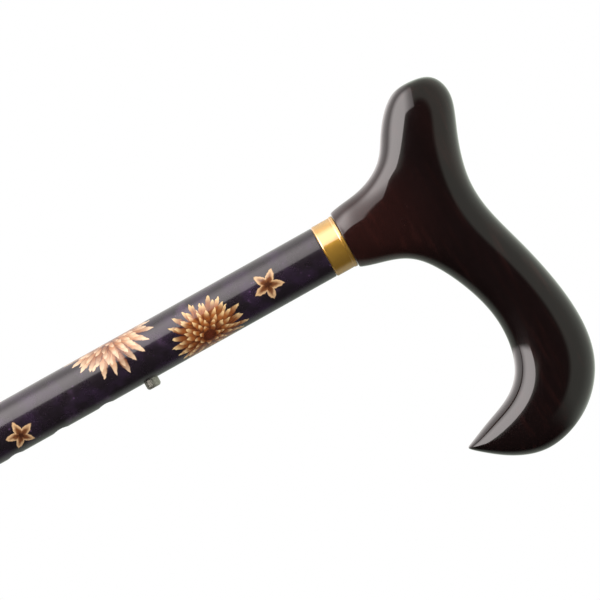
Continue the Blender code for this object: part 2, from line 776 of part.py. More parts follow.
def bar_stations():
    """The handle's bar from the nose to the hook's tip.

    Each station is (lower x, lower z, upper x, upper z, thickness). An x is a share of the nose's
    reach where it is below 0 and of the hook's reach where it is above; a z is a share of the height;
    a thickness is a share of the handle's.
    """
    return [
        (-1.010, 0.700, -0.990, 0.845, 0.50),
        (-0.900, 0.585, -0.930, 0.945, 0.82),
        (-0.690, 0.480, -0.690, 0.988, 0.95),
        (-0.470, 0.405, -0.380, 0.890, 1.00),
        (0.010, 0.405, 0.010, HANDLE_SADDLE, 1.00),
        (0.205, 0.365, 0.150, 0.820, 1.00),
        (0.350, 0.495, 0.320, 0.912, 1.00),
        (0.510, 0.572, 0.500, 0.982, 1.00),
        (0.655, 0.545, 0.670, 1.008, 1.00),
        (0.730, 0.475, 0.812, 0.960, 0.99),
        (0.770, 0.390, 0.925, 0.818, 0.96),
        (0.793, 0.305, 0.990, 0.625, 0.91),
        (0.812, 0.215, 1.009, 0.425, 0.83),
        (0.832, 0.135, 0.965, 0.240, 0.70),
        (0.850, 0.065, 0.905, 0.110, 0.48),
        (0.858, 0.030, 0.868, 0.040, 0.22),
    ]


def reach(share):
    """A station's x in metres."""
    return share * (HANDLE_NOSE if share < 0 else HANDLE_REACH)


def bar_ring(station):
    """The cage's eight points round the bar at one station, from the upper one towards +Y.

    A cage of rings shrinks as it is smoothed, so each is drawn larger by what it will lose.
    """
    low_x, low_z, high_x, high_z, thick = station
    low = Vector((reach(low_x), 0.0, low_z * HANDLE_HEIGHT))
    high = Vector((reach(high_x), 0.0, high_z * HANDLE_HEIGHT))
    swell = 6 / (4 + 2 * HANDLE_SQUARE)
    centre = (low + high) / 2
    up = (high - low) / 2 * swell
    side = Vector((0.0, thick * HANDLE_THICKNESS / 2 * swell, 0.0))
    corner = HANDLE_SQUARE
    return [
        centre + up,
        centre + (up + side) * corner,
        centre + side,
        centre + (side - up) * corner,
        centre - up,
        centre - (side + up) * corner,
        centre - side,
        centre + (up - side) * corner,
    ]


def neck_ring(height, back, front, half):
    """The cage's eight points round the neck at one height, from +X towards +Y."""
    swell = 6 / (4 + 2 * ROUND_SHOULDER)
    centre = Vector(((front - back) / 2, 0.0, height))
    along = (front + back) / 2 * swell
    points = []
    for i in range(8):
        angle = math.pi * i / 4
        points.append(centre + Vector((along * math.cos(angle), half * swell * math.sin(angle), 0.0)))
    return points


def neck_rings():
    """The neck's rings from the bar down to its flat foot on the band."""
    radius = OUTER_RADIUS + NECK_PROUD
    half = NECK_THICKNESS * HANDLE_THICKNESS / 2
    foot = radius - 2 * EDGE
    rings = []
    for share in (1.0, NECK_MIDDLE):
        flare = NECK_FLARE * share
        front = radius + NECK_FRONT_FLARE * flare
        rings.append(neck_ring(NECK_LENGTH * share, radius + flare, front, half))
    rings.append(neck_ring(EDGE, foot + EDGE, foot + EDGE, half - EDGE))
    rings.append(neck_ring(0.0, foot, foot, foot))
    rings.append(neck_ring(0.0, foot - LEAD_IN, foot - LEAD_IN, foot - LEAD_IN))
    return rings


def handle_cage():
    """The handle's coarse cage: the bar, with the neck let into its underside."""
    shape = bmesh.new()
    rings = [[shape.verts.new(point) for point in bar_ring(station)] for station in bar_stations()]
    for index, (one, other) in enumerate(zip(rings, rings[1:])):
        for i in range(8):
            j = (i + 1) % 8
            underside = i in (3, 4)
            if underside and NECK_FROM <= index < NECK_TO:
                continue
            shape.faces.new([one[i], other[i], other[j], one[j]])
    shape.faces.new(rings[0])
    shape.faces.new(rings[-1][::-1])
    first, middle, last = rings[NECK_FROM:NECK_TO + 1]
    shape.verts.remove(middle[4])
    above = [last[4], last[3], middle[3], first[3], first[4], first[5], middle[5], last[5]]
    for points in neck_rings():
        below = [shape.verts.new(point) for point in points]
        for i in range(8):
            j = (i + 1) % 8
            shape.faces.new([above[i], above[j], below[j], below[i]])
        above = below
    shape.faces.new(above)
    bmesh.ops.recalc_face_normals(shape, faces=shape.faces)
    mesh = bpy.data.meshes.new("handle")
    shape.to_mesh(mesh)
    shape.free()
    mesh.shade_smooth()
    return mesh


def handle(parent):
    """The derby handle, smoothed from its cage and bored for the stud and the screw."""
    made = add_mesh("handle", handle_cage(), lacquered_wood, (0, 0, HANDLE_BOTTOM), parent)
    smooth = made.modifiers.new("smooth", "SUBSURF")
    smooth.levels = 2
    smooth.render_levels = 2
    start = (0.0, 0.0, BAND_BOTTOM)
    stud_top = BAND_HEIGHT + STUD_IN_HANDLE + GAP
    screw_top = stud_top + SCREW_PAST_STUD
    cut(made, round_cutter("stud_bore", STUD_NECK_RADIUS + PIN_FIT, stud_top, start, (0.0, 0.0, 1.0)))
    cut(made, round_cutter("screw_bore", SCREW_RADIUS + PIN_FIT, screw_top, start, (0.0, 0.0, 1.0)))


# The whole cane

def upper_section(root):
    """Handle, band, outer tube and what fixes them together."""
    handle(root)
    handle_stud(root)
    handle_screw(root)
    collar_band(root)
    outer_tube(root)
    outer_tube_bush(root)


def height_section(root):
    """The inner tube with its guide and the sprung button. Gives the tube and its empty."""
    slide = axis_empty("height_adjust_axis", (0, 0, OUTER_BOTTOM), root)
    tube = inner_tube(slide)
    inner_tube_guide(slide)
    button_spring(slide)
    snap_button(axis_empty("button_press_axis", (0, 0, BUTTON_HEIGHT), slide))
    return tube, slide


def folding_sections(tube, carrier):
    """The three fold joints and the sections under them, from the top down."""
    seams = (SEAM_1, SEAM_2, SEAM_3)
    feet = (SEAM_2, SEAM_3, TIP_SOLE + WASHER_THICKNESS + 2 * GAP)
    for number, (seam, foot) in enumerate(zip(seams, feet), start=1):
        carrier = fold_joint(number, seam, tube, carrier)
        tube = section_tube(number + 1, foot, seam, carrier)
        joint_lower_half(number, seam, tube, carrier)
    rubber_tip(carrier)


clear_scene()
PART = new_collection("folding_cane")
CUTTERS = new_collection("cutters")
CANE = axis_empty("cane_root", (0, 0, 0))
upper_section(CANE)
folding_sections(*height_section(CANE))
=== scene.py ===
"""Looks of a folding walking cane with a derby handle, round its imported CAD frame.

The frame gives the bodies that move and the place of every piece. This script makes the finer mesh
and the finish of each piece, and a plain studio. Everything is in metres, +Z runs up the shaft and
the handle's hook opens on the +X side.
"""
import logging
import math
from collections.abc import Callable, Iterable, Mapping, Sequence
from dataclasses import dataclass, field
from enum import Enum
from typing import Any, ClassVar

import bmesh
import bpy
from mathutils import Matrix, Vector


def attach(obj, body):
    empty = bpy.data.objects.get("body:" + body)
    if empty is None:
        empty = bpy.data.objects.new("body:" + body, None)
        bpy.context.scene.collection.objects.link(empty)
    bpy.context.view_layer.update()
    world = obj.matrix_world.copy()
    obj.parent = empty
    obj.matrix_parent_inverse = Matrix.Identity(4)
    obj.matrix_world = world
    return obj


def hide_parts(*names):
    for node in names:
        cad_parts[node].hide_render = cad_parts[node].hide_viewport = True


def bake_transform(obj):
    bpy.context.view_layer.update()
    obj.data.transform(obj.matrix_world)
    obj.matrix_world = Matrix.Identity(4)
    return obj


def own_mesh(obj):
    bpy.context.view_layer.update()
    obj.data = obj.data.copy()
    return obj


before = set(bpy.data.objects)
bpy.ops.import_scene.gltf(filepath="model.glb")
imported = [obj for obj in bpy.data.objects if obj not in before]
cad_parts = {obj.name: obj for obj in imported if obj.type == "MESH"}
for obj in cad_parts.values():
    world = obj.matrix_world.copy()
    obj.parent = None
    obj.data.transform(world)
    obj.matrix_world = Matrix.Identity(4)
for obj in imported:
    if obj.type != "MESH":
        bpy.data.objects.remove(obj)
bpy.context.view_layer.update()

LOG = logging.getLogger("folding_cane")

Point = tuple[float, float]
Colour = tuple[float, float, float, float]
Stops = tuple[tuple[float, Colour], ...]
Piece = bpy.types.Object

FULL_TURN = 2 * math.pi
AXIS_X = (1.0, 0.0, 0.0)
AXIS_Y = (0.0, 1.0, 0.0)
AXIS_Z = (0.0, 0.0, 1.0)
BLACK: Colour = (0.0, 0.0, 0.0, 1.0)
WHITE: Colour = (1.0, 1.0, 1.0, 1.0)
SHARP = math.radians(32)        # the least angle between two faces that shows as an edge
STRAIGHT = math.radians(168)    # a corner of a profile that is wider than this isn't rounded
ROUND_LINES = 3                 # how many lines a rounded corner has
ROUND_SHARE = 0.4               # the most of a side that a round takes at one end
HELD = 1.7                      # where the side beside a round is held straight, in rounds
ON_AXIS = 1e-7                  # a point of a profile nearer the axis than this lies on it
SOFT = 0.0002                   # the usual round on a turned piece's corners
TUBE_SOFT = 0.00025             # the round on a tube's cut ends
FINE = 128                      # facets round the pieces that the eye meets first
PALE = 10.0                     # what a motif's turn carries on top where its petals are pale
SHOWN = "_shown"                # a piece is named for its CAD node, with this after it


def paint(red: int, green: int, blue: int) -> Colour:
    """A colour as it is seen on a screen, turned into the linear values that shaders take.

    Args:
        red: from 0 to 255.
        green: from 0 to 255.
        blue: from 0 to 255.

    Returns:
        The linear colour with full alpha.
    """
    def linear(channel: int) -> float:
        """One channel on the linear scale."""
        share = channel / 255
        return share / 12.92 if share <= 0.04045 else ((share + 0.055) / 1.055) ** 2.4

    return (linear(red), linear(green), linear(blue), 1.0)


# Node trees


def operator(operation: str, reflected: bool = False) -> Callable[["Term", "Term | float"], "Term"]:
    """One of Python's operators as a method that adds a Math node.

    Args:
        operation: the Math node's operation.
        reflected: whether the term stands on the right of the operator.

    Returns:
        The method.
    """
    def method(self: "Term", other: "Term | float") -> "Term":
        """The term and the other value through the node."""
        return self.wiring.maths(operation, *((other, self) if reflected else (self, other)))

    return method


class Term:
    """A value in a node tree, which takes Python's operators as Math nodes.

    least and most give the smaller and the larger of two values.
    """

    __add__, __radd__ = operator("ADD"), operator("ADD", True)
    __sub__, __rsub__ = operator("SUBTRACT"), operator("SUBTRACT", True)
    __mul__, __rmul__ = operator("MULTIPLY"), operator("MULTIPLY", True)
    __truediv__, __rtruediv__ = operator("DIVIDE"), operator("DIVIDE", True)
    __pow__, __rpow__ = operator("POWER"), operator("POWER", True)
    __lt__, __gt__ = operator("LESS_THAN"), operator("GREATER_THAN")
    least, most = operator("MINIMUM"), operator("MAXIMUM")

    def __init__(self, wiring: "Wiring", socket: bpy.types.NodeSocket) -> None:
        """Keep the tree's wiring and the socket that gives the value."""
        self.wiring = wiring
        self.socket = socket

    def __neg__(self) -> "Term":
        """-self."""
        return self * -1.0

    def __abs__(self) -> "Term":
        """abs(self)."""
        return self.apply("ABSOLUTE")

    def apply(self, operation: str, *others: "Term | float") -> "Term":
        """This value and any others through one Math node, for which there is no operator."""
        return self.wiring.maths(operation, self, *others)

    def unit(self) -> "Term":
        """The value kept from 0 to 1."""
        return self.most(0.0).least(1.0)

    def between(self, low: float, high: float) -> "Term":
        """A smooth step: 0 where the value is low, 1 where it is high. low may be the larger one."""
        values = {0: self, 1: low, 2: high, 3: 0.0, 4: 1.0}
        return self.wiring.term("ShaderNodeMapRange", values, interpolation_type="SMOOTHSTEP")


class Wiring:
    """Adds nodes to one tree."""

    def __init__(self, tree: bpy.types.NodeTree) -> None:
        """Keep the tree."""
        self.tree = tree

    def node(self, kind: str, values: Mapping[Any, Any] | None = None, **settings: Any) -> bpy.types.Node:
        """Add one node: its settings first, then its values and links.

        Args:
            kind: the node's type.
            values: a value, or a term to link, for each input's name or number.
            settings: the node's own properties.

        Returns:
            The new node.
        """
        made = self.tree.nodes.new(kind)
        for key, value in settings.items():
            setattr(made, key, value)
        for key, value in (values or {}).items():
            self.put(value, made.inputs[key])
        return made

    def put(self, value: Any, socket: bpy.types.NodeSocket) -> None:
        """Link a term to an input, or set the input to a plain value.

        Args:
            value: the term or the value.
            socket: the input.
        """
        if isinstance(value, Term):
            self.tree.links.new(value.socket, socket)
        else:
            socket.default_value = value

    def term(self, kind: str, values: Mapping[Any, Any] | None = None, output: int | str = 0,
             **settings: Any) -> Term:
        """Add one node, as node does, and give the output of that name or number as a term."""
        return Term(self, self.node(kind, values, **settings).outputs[output])

    def maths(self, operation: str, *values: Term | float) -> Term:
        """One Math node over one to three values."""
        return self.term("ShaderNodeMath", dict(enumerate(values)), operation=operation)

    def vectors(self, operation: str, *values: Any, output: int = 0, **named: Any) -> Term:
        """One Vector Math node. Its output 1 is a single value, such as a length."""
        inputs = {**dict(enumerate(values)), **named}
        return self.term("ShaderNodeVectorMath", inputs, output, operation=operation)

    def span(self, x: Term, y: Term) -> Term:
        """The length of two sides of a right angle."""
        return (x * x + y * y).apply("SQRT")

    def chance(self, seed: Term) -> Term:
        """A value from 0 to 1 that jumps about as its seed steps on."""
        return ((seed * 12.99).apply("SINE") * 437.58).apply("FRACT")

    def vector(self, x: Term | float, y: Term | float, z: Term | float) -> Term:
        """Three values as one vector."""
        return self.term("ShaderNodeCombineXYZ", {0: x, 1: y, 2: z})

    def parts(self, vector: Term) -> tuple[Term, Term, Term]:
        """A vector's three values."""
        split = self.node("ShaderNodeSeparateXYZ", {0: vector})
        return tuple(Term(self, output) for output in split.outputs)

    def pick(self, share: Term | float, first: Term, second: Term) -> Term:
        """A mix of two vectors. share is how much of the second one is taken."""
        return self.term("ShaderNodeMix", {0: share, 4: first, 5: second}, 1, data_type="VECTOR")

    def tint(self, share: Term | float, first: Term | Colour, second: Term | Colour) -> Term:
        """A mix of two colours. share is how much of the second one is taken."""
        return self.term("ShaderNodeMix", {0: share, 6: first, 7: second}, 2, data_type="RGBA")

    def ramp(self, value: Term, stops: Stops) -> Term:
        """A run of colours along a value.

        Args:
            value: where on the run.
            stops: pairs of a value and its colour, in rising order.

        Returns:
            The colour.
        """
        colour: Term | Colour = stops[0][1]
        for (low, _), (high, following) in zip(stops, stops[1:]):
            colour = self.tint(value.between(low, high), colour, following)
        return colour


class Surface(Wiring):
    """One material's tree, with the Principled shader that it feeds."""

    def __init__(self, name: str) -> None:
        """Make the material and keep its shader.

        Args:
            name: the material's name.
        """
        self.material = bpy.data.materials.new(name)
        self.material.use_nodes = True
        super().__init__(self.material.node_tree)
        self.shader = self.tree.nodes["Principled BSDF"]

    def feed(self, **inputs: Term | float | Colour) -> None:
        """Set or link inputs of the shader, named with underscores for spaces."""
        for key, value in inputs.items():
            self.put(value, self.shader.inputs[key.replace("_", " ")])

    def place(self) -> Term:
        """The point on the piece, in metres."""
        return self.term("ShaderNodeTexCoord", output="Object")

    def noise(self, where: Term, scale: float, detail: float = 2.0) -> Term:
        """Soft noise from 0 to 1, with scale features to a unit of where and detail finer layers."""
        return self.term("ShaderNodeTexNoise", {"Vector": where, "Scale": scale, "Detail": detail})

    def bump(self, height: Term, depth: float) -> None:
        """Raise the surface by a height from 0 to 1 that stands for a depth in metres."""
        self.feed(Normal=self.term("ShaderNodeBump", {"Height": height, "Distance": depth}))


# Finishes


@dataclass(frozen=True)
class Finish:
    """A finish that pieces share. Each kind wires its own surface."""

    label: str
    slot: str

    def wire(self, surface: Surface) -> None:
        """Build the finish's nodes on a fresh surface."""
        raise NotImplementedError

    def material(self) -> bpy.types.Material:
        """The finish's material, made the first time that it is asked for.

        Returns:
            The material.
        """
        found = bpy.data.materials.get(self.label)
        if found:
            return found
        surface = Surface(self.label)
        self.wire(surface)
        return surface.material


@dataclass(frozen=True)
class LacqueredWood(Finish):
    """Near black mahogany under a deep clear lacquer, redder where the neck leaves the bar."""

    ground: Colour = paint(20, 11, 11)
    warm: Colour = paint(51, 24, 21)
    neck: tuple[float, float, float] = (0.0, 0.0, 0.783)
    neck_reach: float = 0.040
    neck_core: float = 0.008
    grain_scale: float = 420.0
    grain_stretch: float = 0.07
    patch_scale: float = 38.0
    haze_scale: float = 160.0
    ripple_scale: float = 95.0
    ripple_depth: float = 0.00001

    def wire(self, surface: Surface) -> None:
        """Fine grain along the bar, warm patches under the lacquer and a faint ripple on it.

        Args:
            surface: the surface to build on.
        """
        place = surface.place()
        x, y, z = surface.parts(place)
        grain = surface.noise(surface.vector(x * self.grain_stretch, y, z), self.grain_scale, 4.0)
        patch = surface.noise(place, self.patch_scale, 2.0)
        away = surface.vectors("DISTANCE", place, self.neck, output=1)
        warmth = grain.between(0.50, 0.80) * 0.45 + patch.between(0.50, 0.80) * 0.25
        warmth = (warmth + away.between(self.neck_reach, self.neck_core) * 0.55).unit()
        surface.feed(Base_Color=surface.tint(warmth, self.ground, self.warm))
        haze = surface.noise(place, self.haze_scale, 3.0)
        surface.feed(Roughness=haze.between(0.3, 0.8) * 0.06 + 0.22)
        surface.feed(Specular_IOR_Level=0.1, Coat_Weight=1.0, Coat_Roughness=0.035, Coat_IOR=1.52)
        surface.bump(surface.noise(place, self.ripple_scale, 1.0), self.ripple_depth)


@dataclass(frozen=True)
class Blossom:
    """Where one motif of the print stands, and how it is turned.

    around is in radians from the side that faces -Y, towards +X. height is over the floor, and both
    repeat by the print's rule.
    """

    around: float
    height: float
    radius: float
    turn: float
    pale: float = 0.0


@dataclass(frozen=True)
class FloralPrint(Finish):
    """Gloss print on a tube: spiky blossoms and small stars on a purple black ground.

    The motifs repeat every period of height, and each repeat is drifted a little round the tube.
    """

    radius: float = 0.010
    wall: float = 0.0009
    period: float = 0.106
    drift: float = -0.42
    ground: Colour = paint(33, 25, 32)
    cloud: Colour = paint(50, 34, 56)
    haze: Colour = paint(112, 84, 118)
    speckle: Colour = paint(118, 84, 128)
    bare: Colour = (0.72, 0.72, 0.73, 1.0)
    golden: Stops = ((0.50, paint(84, 34, 13)), (0.72, paint(166, 94, 40)), (0.98, paint(252, 214, 154)))
    rosy: Stops = ((0.42, paint(130, 66, 40)), (0.62, paint(204, 138, 96)), (0.94, paint(250, 212, 174)))
    petal_edge: Colour = paint(98, 42, 17)
    eye: Colour = paint(104, 44, 22)
    starry: Stops = ((0.14, paint(68, 33, 17)), (0.45, paint(124, 73, 40)), (0.88, paint(230, 186, 138)))
    star_rib: Colour = paint(112, 60, 36)
    wobble: float = 0.0009
    wobble_scale: float = 700.0
    cloud_scale: float = 120.0
    patch_scale: float = 88.0
    dot_scale: float = 420.0
    dotted_scale: float = 75.0
    haze_scale: float = 260.0
    ink_scale: float = 190.0
    ink_depth: float = 0.000045
    blossoms: tuple[Blossom, ...] = (
        Blossom(0.67, 0.7175, 0.0162, 0.3),
        Blossom(-1.50, 0.684, 0.0192, 1.1, 1.0),
        Blossom(3.10, 0.650, 0.0130, 2.0, 1.0),
        Blossom(2.70, 0.705, 0.0090, 0.7),
    )
    stars: tuple[Blossom, ...] = (
        Blossom(0.05, 0.7452, 0.0065, 0.69),
        Blossom(2.05, 0.7400, 0.0055, 0.9),
        Blossom(-2.30, 0.7170, 0.0052, 0.5),
        Blossom(-2.40, 0.6330, 0.0055, 0.0),
    )
    layers: tuple[tuple[int, float, float], ...] = (
        (24, 1.00, 0.0), (22, 0.86, 0.4), (19, 0.73, 0.1), (16, 0.59, 0.7), (12, 0.44, 0.3), (7, 0.28, 0.6),
    )

    def nearest(self, surface: Surface, around: Term, height: Term, motifs: Iterable[Blossom]) -> Term:
        """The nearest motif's own coordinates.

        Args:
            surface: the surface to build on.
            around: the angle round the tube.
            height: the height over the floor.
            motifs: the motifs of one repeat.

        Returns:
            A vector: the place in the motif across and up, as shares of its radius, and its turn, with
            PALE added where its petals are pale.
        """
        best = best_far = None
        for motif in motifs:
            rise = height - motif.height
            repeat = (rise / self.period).apply("ROUND")
            sway = (repeat * 2.4).apply("SINE")
            size = sway * (0.08 * motif.radius) + motif.radius
            up = (rise - repeat * self.period) / size
            angle = around - (repeat * self.drift + motif.around)
            across = angle.apply("WRAP", math.pi, -math.pi) * self.radius / size
            far = across * across + up * up
            here = surface.vector(across, up, repeat.apply("SINE") * 0.9 + (motif.turn + PALE * motif.pale))
            if best is None:
                best, best_far = here, far
            else:
                best = surface.pick(far < best_far, best, here)
                best_far = far.least(best_far)
        return best

    def blossom(self, surface: Surface, under: Term, local: Term) -> Term:
        """Draw the nearest spiky blossom: layers of pointed petals, the outer ones first.

        Args:
            surface: the surface to build on.
            under: the colour that it is printed on.
            local: the nearest motif's own coordinates.

        Returns:
            The colour with the blossom on it.
        """
        across, up, code = surface.parts(local)
        pale = code > 0.7 * PALE
        turn = code - pale * PALE
        far = surface.span(across, up)
        angle = up.apply("ARCTAN2", across) + turn
        shade = surface.noise(surface.vector(across, up, turn), 2.2, 2.0).between(0.35, 0.70)
        colour = under
        for number, (count, reach, phase) in enumerate(self.layers):
            sector = angle * (count / FULL_TURN) + phase
            index = sector.apply("FLOOR")
            chance = surface.chance(index + 7.3 * number + turn)
            share = far / ((chance * 0.20 + 0.82) * reach)
            half = (((1.0 - share) * 2.4).unit() ** 0.7) * 0.56
            off = abs(sector - index - 0.5)
            inside = (half - off).between(0.0, 0.07) * (share < 1.0)
            petal = surface.tint(pale, surface.ramp(share, self.golden), surface.ramp(share, self.rosy))
            edge = (off / (half + 0.01)).between(0.35, 1.0) * share.between(1.05, 0.65)
            dim = chance.between(0.5, 1.0) * 0.45 * share.between(1.0, 0.8)
            petal = surface.tint((edge * 0.62 + dim + shade * 0.12).unit(), petal, self.petal_edge)
            colour = surface.tint(inside, colour, petal)
        return surface.tint(far.between(0.12, 0.05) * 0.8, colour, self.eye)

    def star(self, surface: Surface, under: Term, local: Term) -> Term:
        """Draw the nearest star: five pointed petals round a dark eye.

        Args:
            surface: the surface to build on.
            under: the colour that it is printed on.
            local: the nearest motif's own coordinates.

        Returns:
            The colour with the star on it.
        """
        across, up, turn = surface.parts(local)
        far = surface.span(across, up)
        sector = (up.apply("ARCTAN2", across) + turn) * (5 / FULL_TURN)
        off = abs(sector.apply("FRACT") - 0.5) * 2.0
        share = far / ((1.0 - off) ** 1.15 * 0.58 + 0.42)
        petal = surface.ramp(share, self.starry)
        petal = surface.tint(off.between(0.30, 0.0) * far.between(0.9, 0.3) * 0.5, petal, self.star_rib)
        return surface.tint(share.between(1.0, 0.88), under, petal)

    def wire(self, surface: Surface) -> None:
        """The print on the outside, and bare metal in the bore and on the cut ends.

        Args:
            surface: the surface to build on.
        """
        place = surface.place()
        noise = {"Vector": place, "Scale": self.wobble_scale, "Detail": 1.0}
        wobble = surface.term("ShaderNodeTexNoise", noise, "Color")
        shaken = surface.vectors("SCALE", surface.vectors("SUBTRACT", wobble, (0.5, 0.5, 0.5)), Scale=self.wobble)
        x, y, z = surface.parts(surface.vectors("ADD", place, shaken))
        around = x.apply("ARCTAN2", -y)
        cloud = surface.noise(place, self.cloud_scale, 3.0).between(0.42, 0.75)
        colour = surface.tint(cloud, self.ground, self.cloud)
        patch = surface.noise(place, self.patch_scale, 4.0).between(0.60, 0.80)
        colour = surface.tint(patch * 0.45, colour, self.haze)
        dots = surface.term("ShaderNodeTexVoronoi", {"Vector": place, "Scale": self.dot_scale})
        dotted = surface.noise(place, self.dotted_scale, 1.0).between(0.50, 0.72)
        colour = surface.tint(dots.between(0.20, 0.10) * dotted * 0.55, colour, self.speckle)
        colour = self.blossom(surface, colour, self.nearest(surface, around, z, self.blossoms))
        colour = self.star(surface, colour, self.nearest(surface, around, z, self.stars))
        flat_x, flat_y, _ = surface.parts(place)
        far = surface.span(flat_x, flat_y)
        printed = far.between(self.radius - 0.45 * self.wall, self.radius - 0.25 * self.wall)
        surface.feed(Base_Color=surface.tint(printed, self.bare, colour), Metallic=1.0 - printed)
        haze = surface.noise(place, self.haze_scale, 2.0)
        surface.feed(Roughness=haze * 0.08 + 0.24, Coat_Weight=printed, Coat_Roughness=0.08)
        surface.bump(surface.noise(place, self.ink_scale, 2.0), self.ink_depth)


@dataclass(frozen=True)
class TurnedMetal(Finish):
    """Metal with the fine rings of turning or drawing, and a little stain."""

    colour: Colour
    stain: Colour
    roughness: float
    spread: float = 0.10
    lacquer: float = 0.0
    metallic: float = 1.0
    ring_scale: float = 5200.0
    ring_depth: float = 0.000002
    stain_scale: float = 210.0

    def wire(self, surface: Surface) -> None:
        """Rings across the axis, blotches of stain, roughness that follows both, and any lacquer.

        Args:
            surface: the surface to build on.
        """
        place = surface.place()
        x, y, z = surface.parts(place)
        rings = surface.noise(surface.vector(surface.span(x, y), x * 0.01, z), self.ring_scale, 2.0)
        blotch = surface.noise(place, self.stain_scale, 4.0).between(0.48, 0.78)
        surface.feed(Base_Color=surface.tint(blotch * 0.6, self.colour, self.stain), Metallic=self.metallic)
        surface.feed(Roughness=rings * self.spread + blotch * self.spread + self.roughness)
        surface.feed(Coat_Weight=self.lacquer, Coat_Roughness=0.06, Coat_IOR=2.7)
        surface.bump(rings, self.ring_depth)


@dataclass(frozen=True)
class Moulded(Finish):
    """Moulded plastic or rubber with a fine grain and dust in it."""

    colour: Colour
    dust: Colour
    roughness: float
    grain_scale: float
    grain_depth: float
    dust_scale: float = 130.0

    def wire(self, surface: Surface) -> None:
        """Grain, and pale dust where the noise gathers it.

        Args:
            surface: the surface to build on.
        """
        place = surface.place()
        grain = surface.noise(place, self.grain_scale, 3.0)
        gathered = surface.noise(place, self.dust_scale, 4.0).between(0.45, 0.85)
        share = gathered * (grain * 0.7 + 0.3)
        surface.feed(Base_Color=surface.tint(share, self.colour, self.dust))
        surface.feed(Roughness=grain * 0.12 + gathered * 0.08 + (self.roughness - 0.08))
        surface.bump(grain, self.grain_depth)


class Finishes(Enum):
    """The finishes that the cane wears."""

    WOOD = LacqueredWood("lacquered_mahogany", "lacquered_wood")
    PRINT_OUTER = FloralPrint("printed_outer_tube", "printed_aluminium")
    PRINT_LOWER = FloralPrint("printed_lower_tubes", "printed_aluminium", radius=0.00875, wall=0.0012)
    BRASS = TurnedMetal(
        "lacquered_brass", "brass", (0.86, 0.46, 0.07, 1.0), (0.72, 0.36, 0.05, 1.0), 0.34, 0.10, 1.0, 0.74
    )
    STEEL = TurnedMetal("bright_steel", "steel", (0.56, 0.56, 0.55, 1.0), (0.40, 0.39, 0.37, 1.0), 0.20)
    DULL_NICKEL = TurnedMetal(
        "dull_nickel", "dark_steel", (0.40, 0.385, 0.33, 1.0), (0.26, 0.24, 0.20, 1.0), 0.36, 0.10, 0.0, 0.75
    )
    ALUMINIUM = TurnedMetal(
        "drawn_aluminium", "aluminium", (0.74, 0.74, 0.75, 1.0), (0.60, 0.60, 0.62, 1.0), 0.30
    )
    NYLON = Moulded("black_nylon", "nylon", paint(30, 30, 32), paint(52, 52, 54), 0.42, 3200.0, 0.000006)
    RUBBER = Moulded("black_rubber", "rubber", paint(30, 30, 30), paint(66, 64, 60), 0.68, 1900.0, 0.000025)


# Meshes


def rounded(points: Sequence[Point], radius: float, closed: bool = True) -> list[Point]:
    """Round a profile's corners and hold the straight runs beside them.

    Args:
        points: the profile's (radius, height) points.
        radius: how far from the corner the round starts.
        closed: whether the last point joins the first.

    Returns:
        The finer profile.
    """
    knots = [Vector(point) for point in points]
    made: list[Point] = []
    for i, knot in enumerate(knots):
        at_end = not closed and i in (0, len(knots) - 1)
        before, after = knots[i - 1] - knot, knots[(i + 1) % len(knots)] - knot
        if at_end or before.angle(after) > STRAIGHT:
            made.append(tuple(knot))
            continue
        back = min(radius, ROUND_SHARE * before.length, ROUND_SHARE * after.length)
        start, end = knot + before.normalized() * back, knot + after.normalized() * back
        if before.length > 4 * back:
            made.append(tuple(knot + before.normalized() * back * HELD))
        for step in range(ROUND_LINES + 1):
            share = step / ROUND_LINES
            first, second = start.lerp(knot, share), knot.lerp(end, share)
            made.append(tuple(first.lerp(second, share)))
        if after.length > 4 * back:
            made.append(tuple(knot + after.normalized() * back * HELD))
    return made


def arc(centre: Point, reach: Point, start: float, end: float, steps: int) -> list[Point]:
    """Points along part of an ellipse.

    Args:
        centre: its centre.
        reach: its half widths.
        start: the first angle in degrees.
        end: the last angle in degrees.
        steps: how many lines it has.

    Returns:
        The points.
    """
    made = []
    for step in range(steps + 1):
        angle = math.radians(start + (end - start) * step / steps)
        made.append((centre[0] + reach[0] * math.cos(angle), centre[1] + reach[1] * math.sin(angle)))
    return made


def raised(profile: Iterable[Point], height: float) -> list[Point]:
    """A profile moved up."""
    return [(radius, level + height) for radius, level in profile]


def pipe(radius: float, bore: float, foot: float, head: float) -> list[Point]:
    """A plain tube's profile, down its outer side first."""
    return rounded([(radius, head), (radius, foot), (bore, foot), (bore, head)], TUBE_SOFT)


def grooves(side: float, floor: float, levels: Iterable[float], mouth: float, run: float) -> list[Point]:
    """Grooves down the side of a profile.

    Args:
        side: the side's radius.
        floor: the radius at a groove's floor.
        levels: each groove's height.
        mouth: half a groove's width at the side.
        run: half its width at its floor.

    Returns:
        The points, from the top down.
    """
    made = []
    for level in levels:
        made += [(side, level + mouth), (floor, level + run), (floor, level - run), (side, level - mouth)]
    return made


def link(name: str, mesh: bpy.types.Mesh) -> Piece:
    """Put a mesh in the scene as an object at the origin.

    Args:
        name: what it shows, which is a CAD node's name where it stands for one.
        mesh: the mesh.

    Returns:
        The object.
    """
    made = bpy.data.objects.new(name + SHOWN, mesh)
    bpy.context.scene.collection.objects.link(made)
    return made


def mesh_of(name: str, shape: bmesh.types.BMesh) -> bpy.types.Mesh:
    """A shape as a mesh. The shape is used up.

    Args:
        name: the mesh's name.
        shape: what it is made of.

    Returns:
        The mesh.
    """
    mesh = bpy.data.meshes.new(name)
    shape.to_mesh(mesh)
    shape.free()
    return mesh


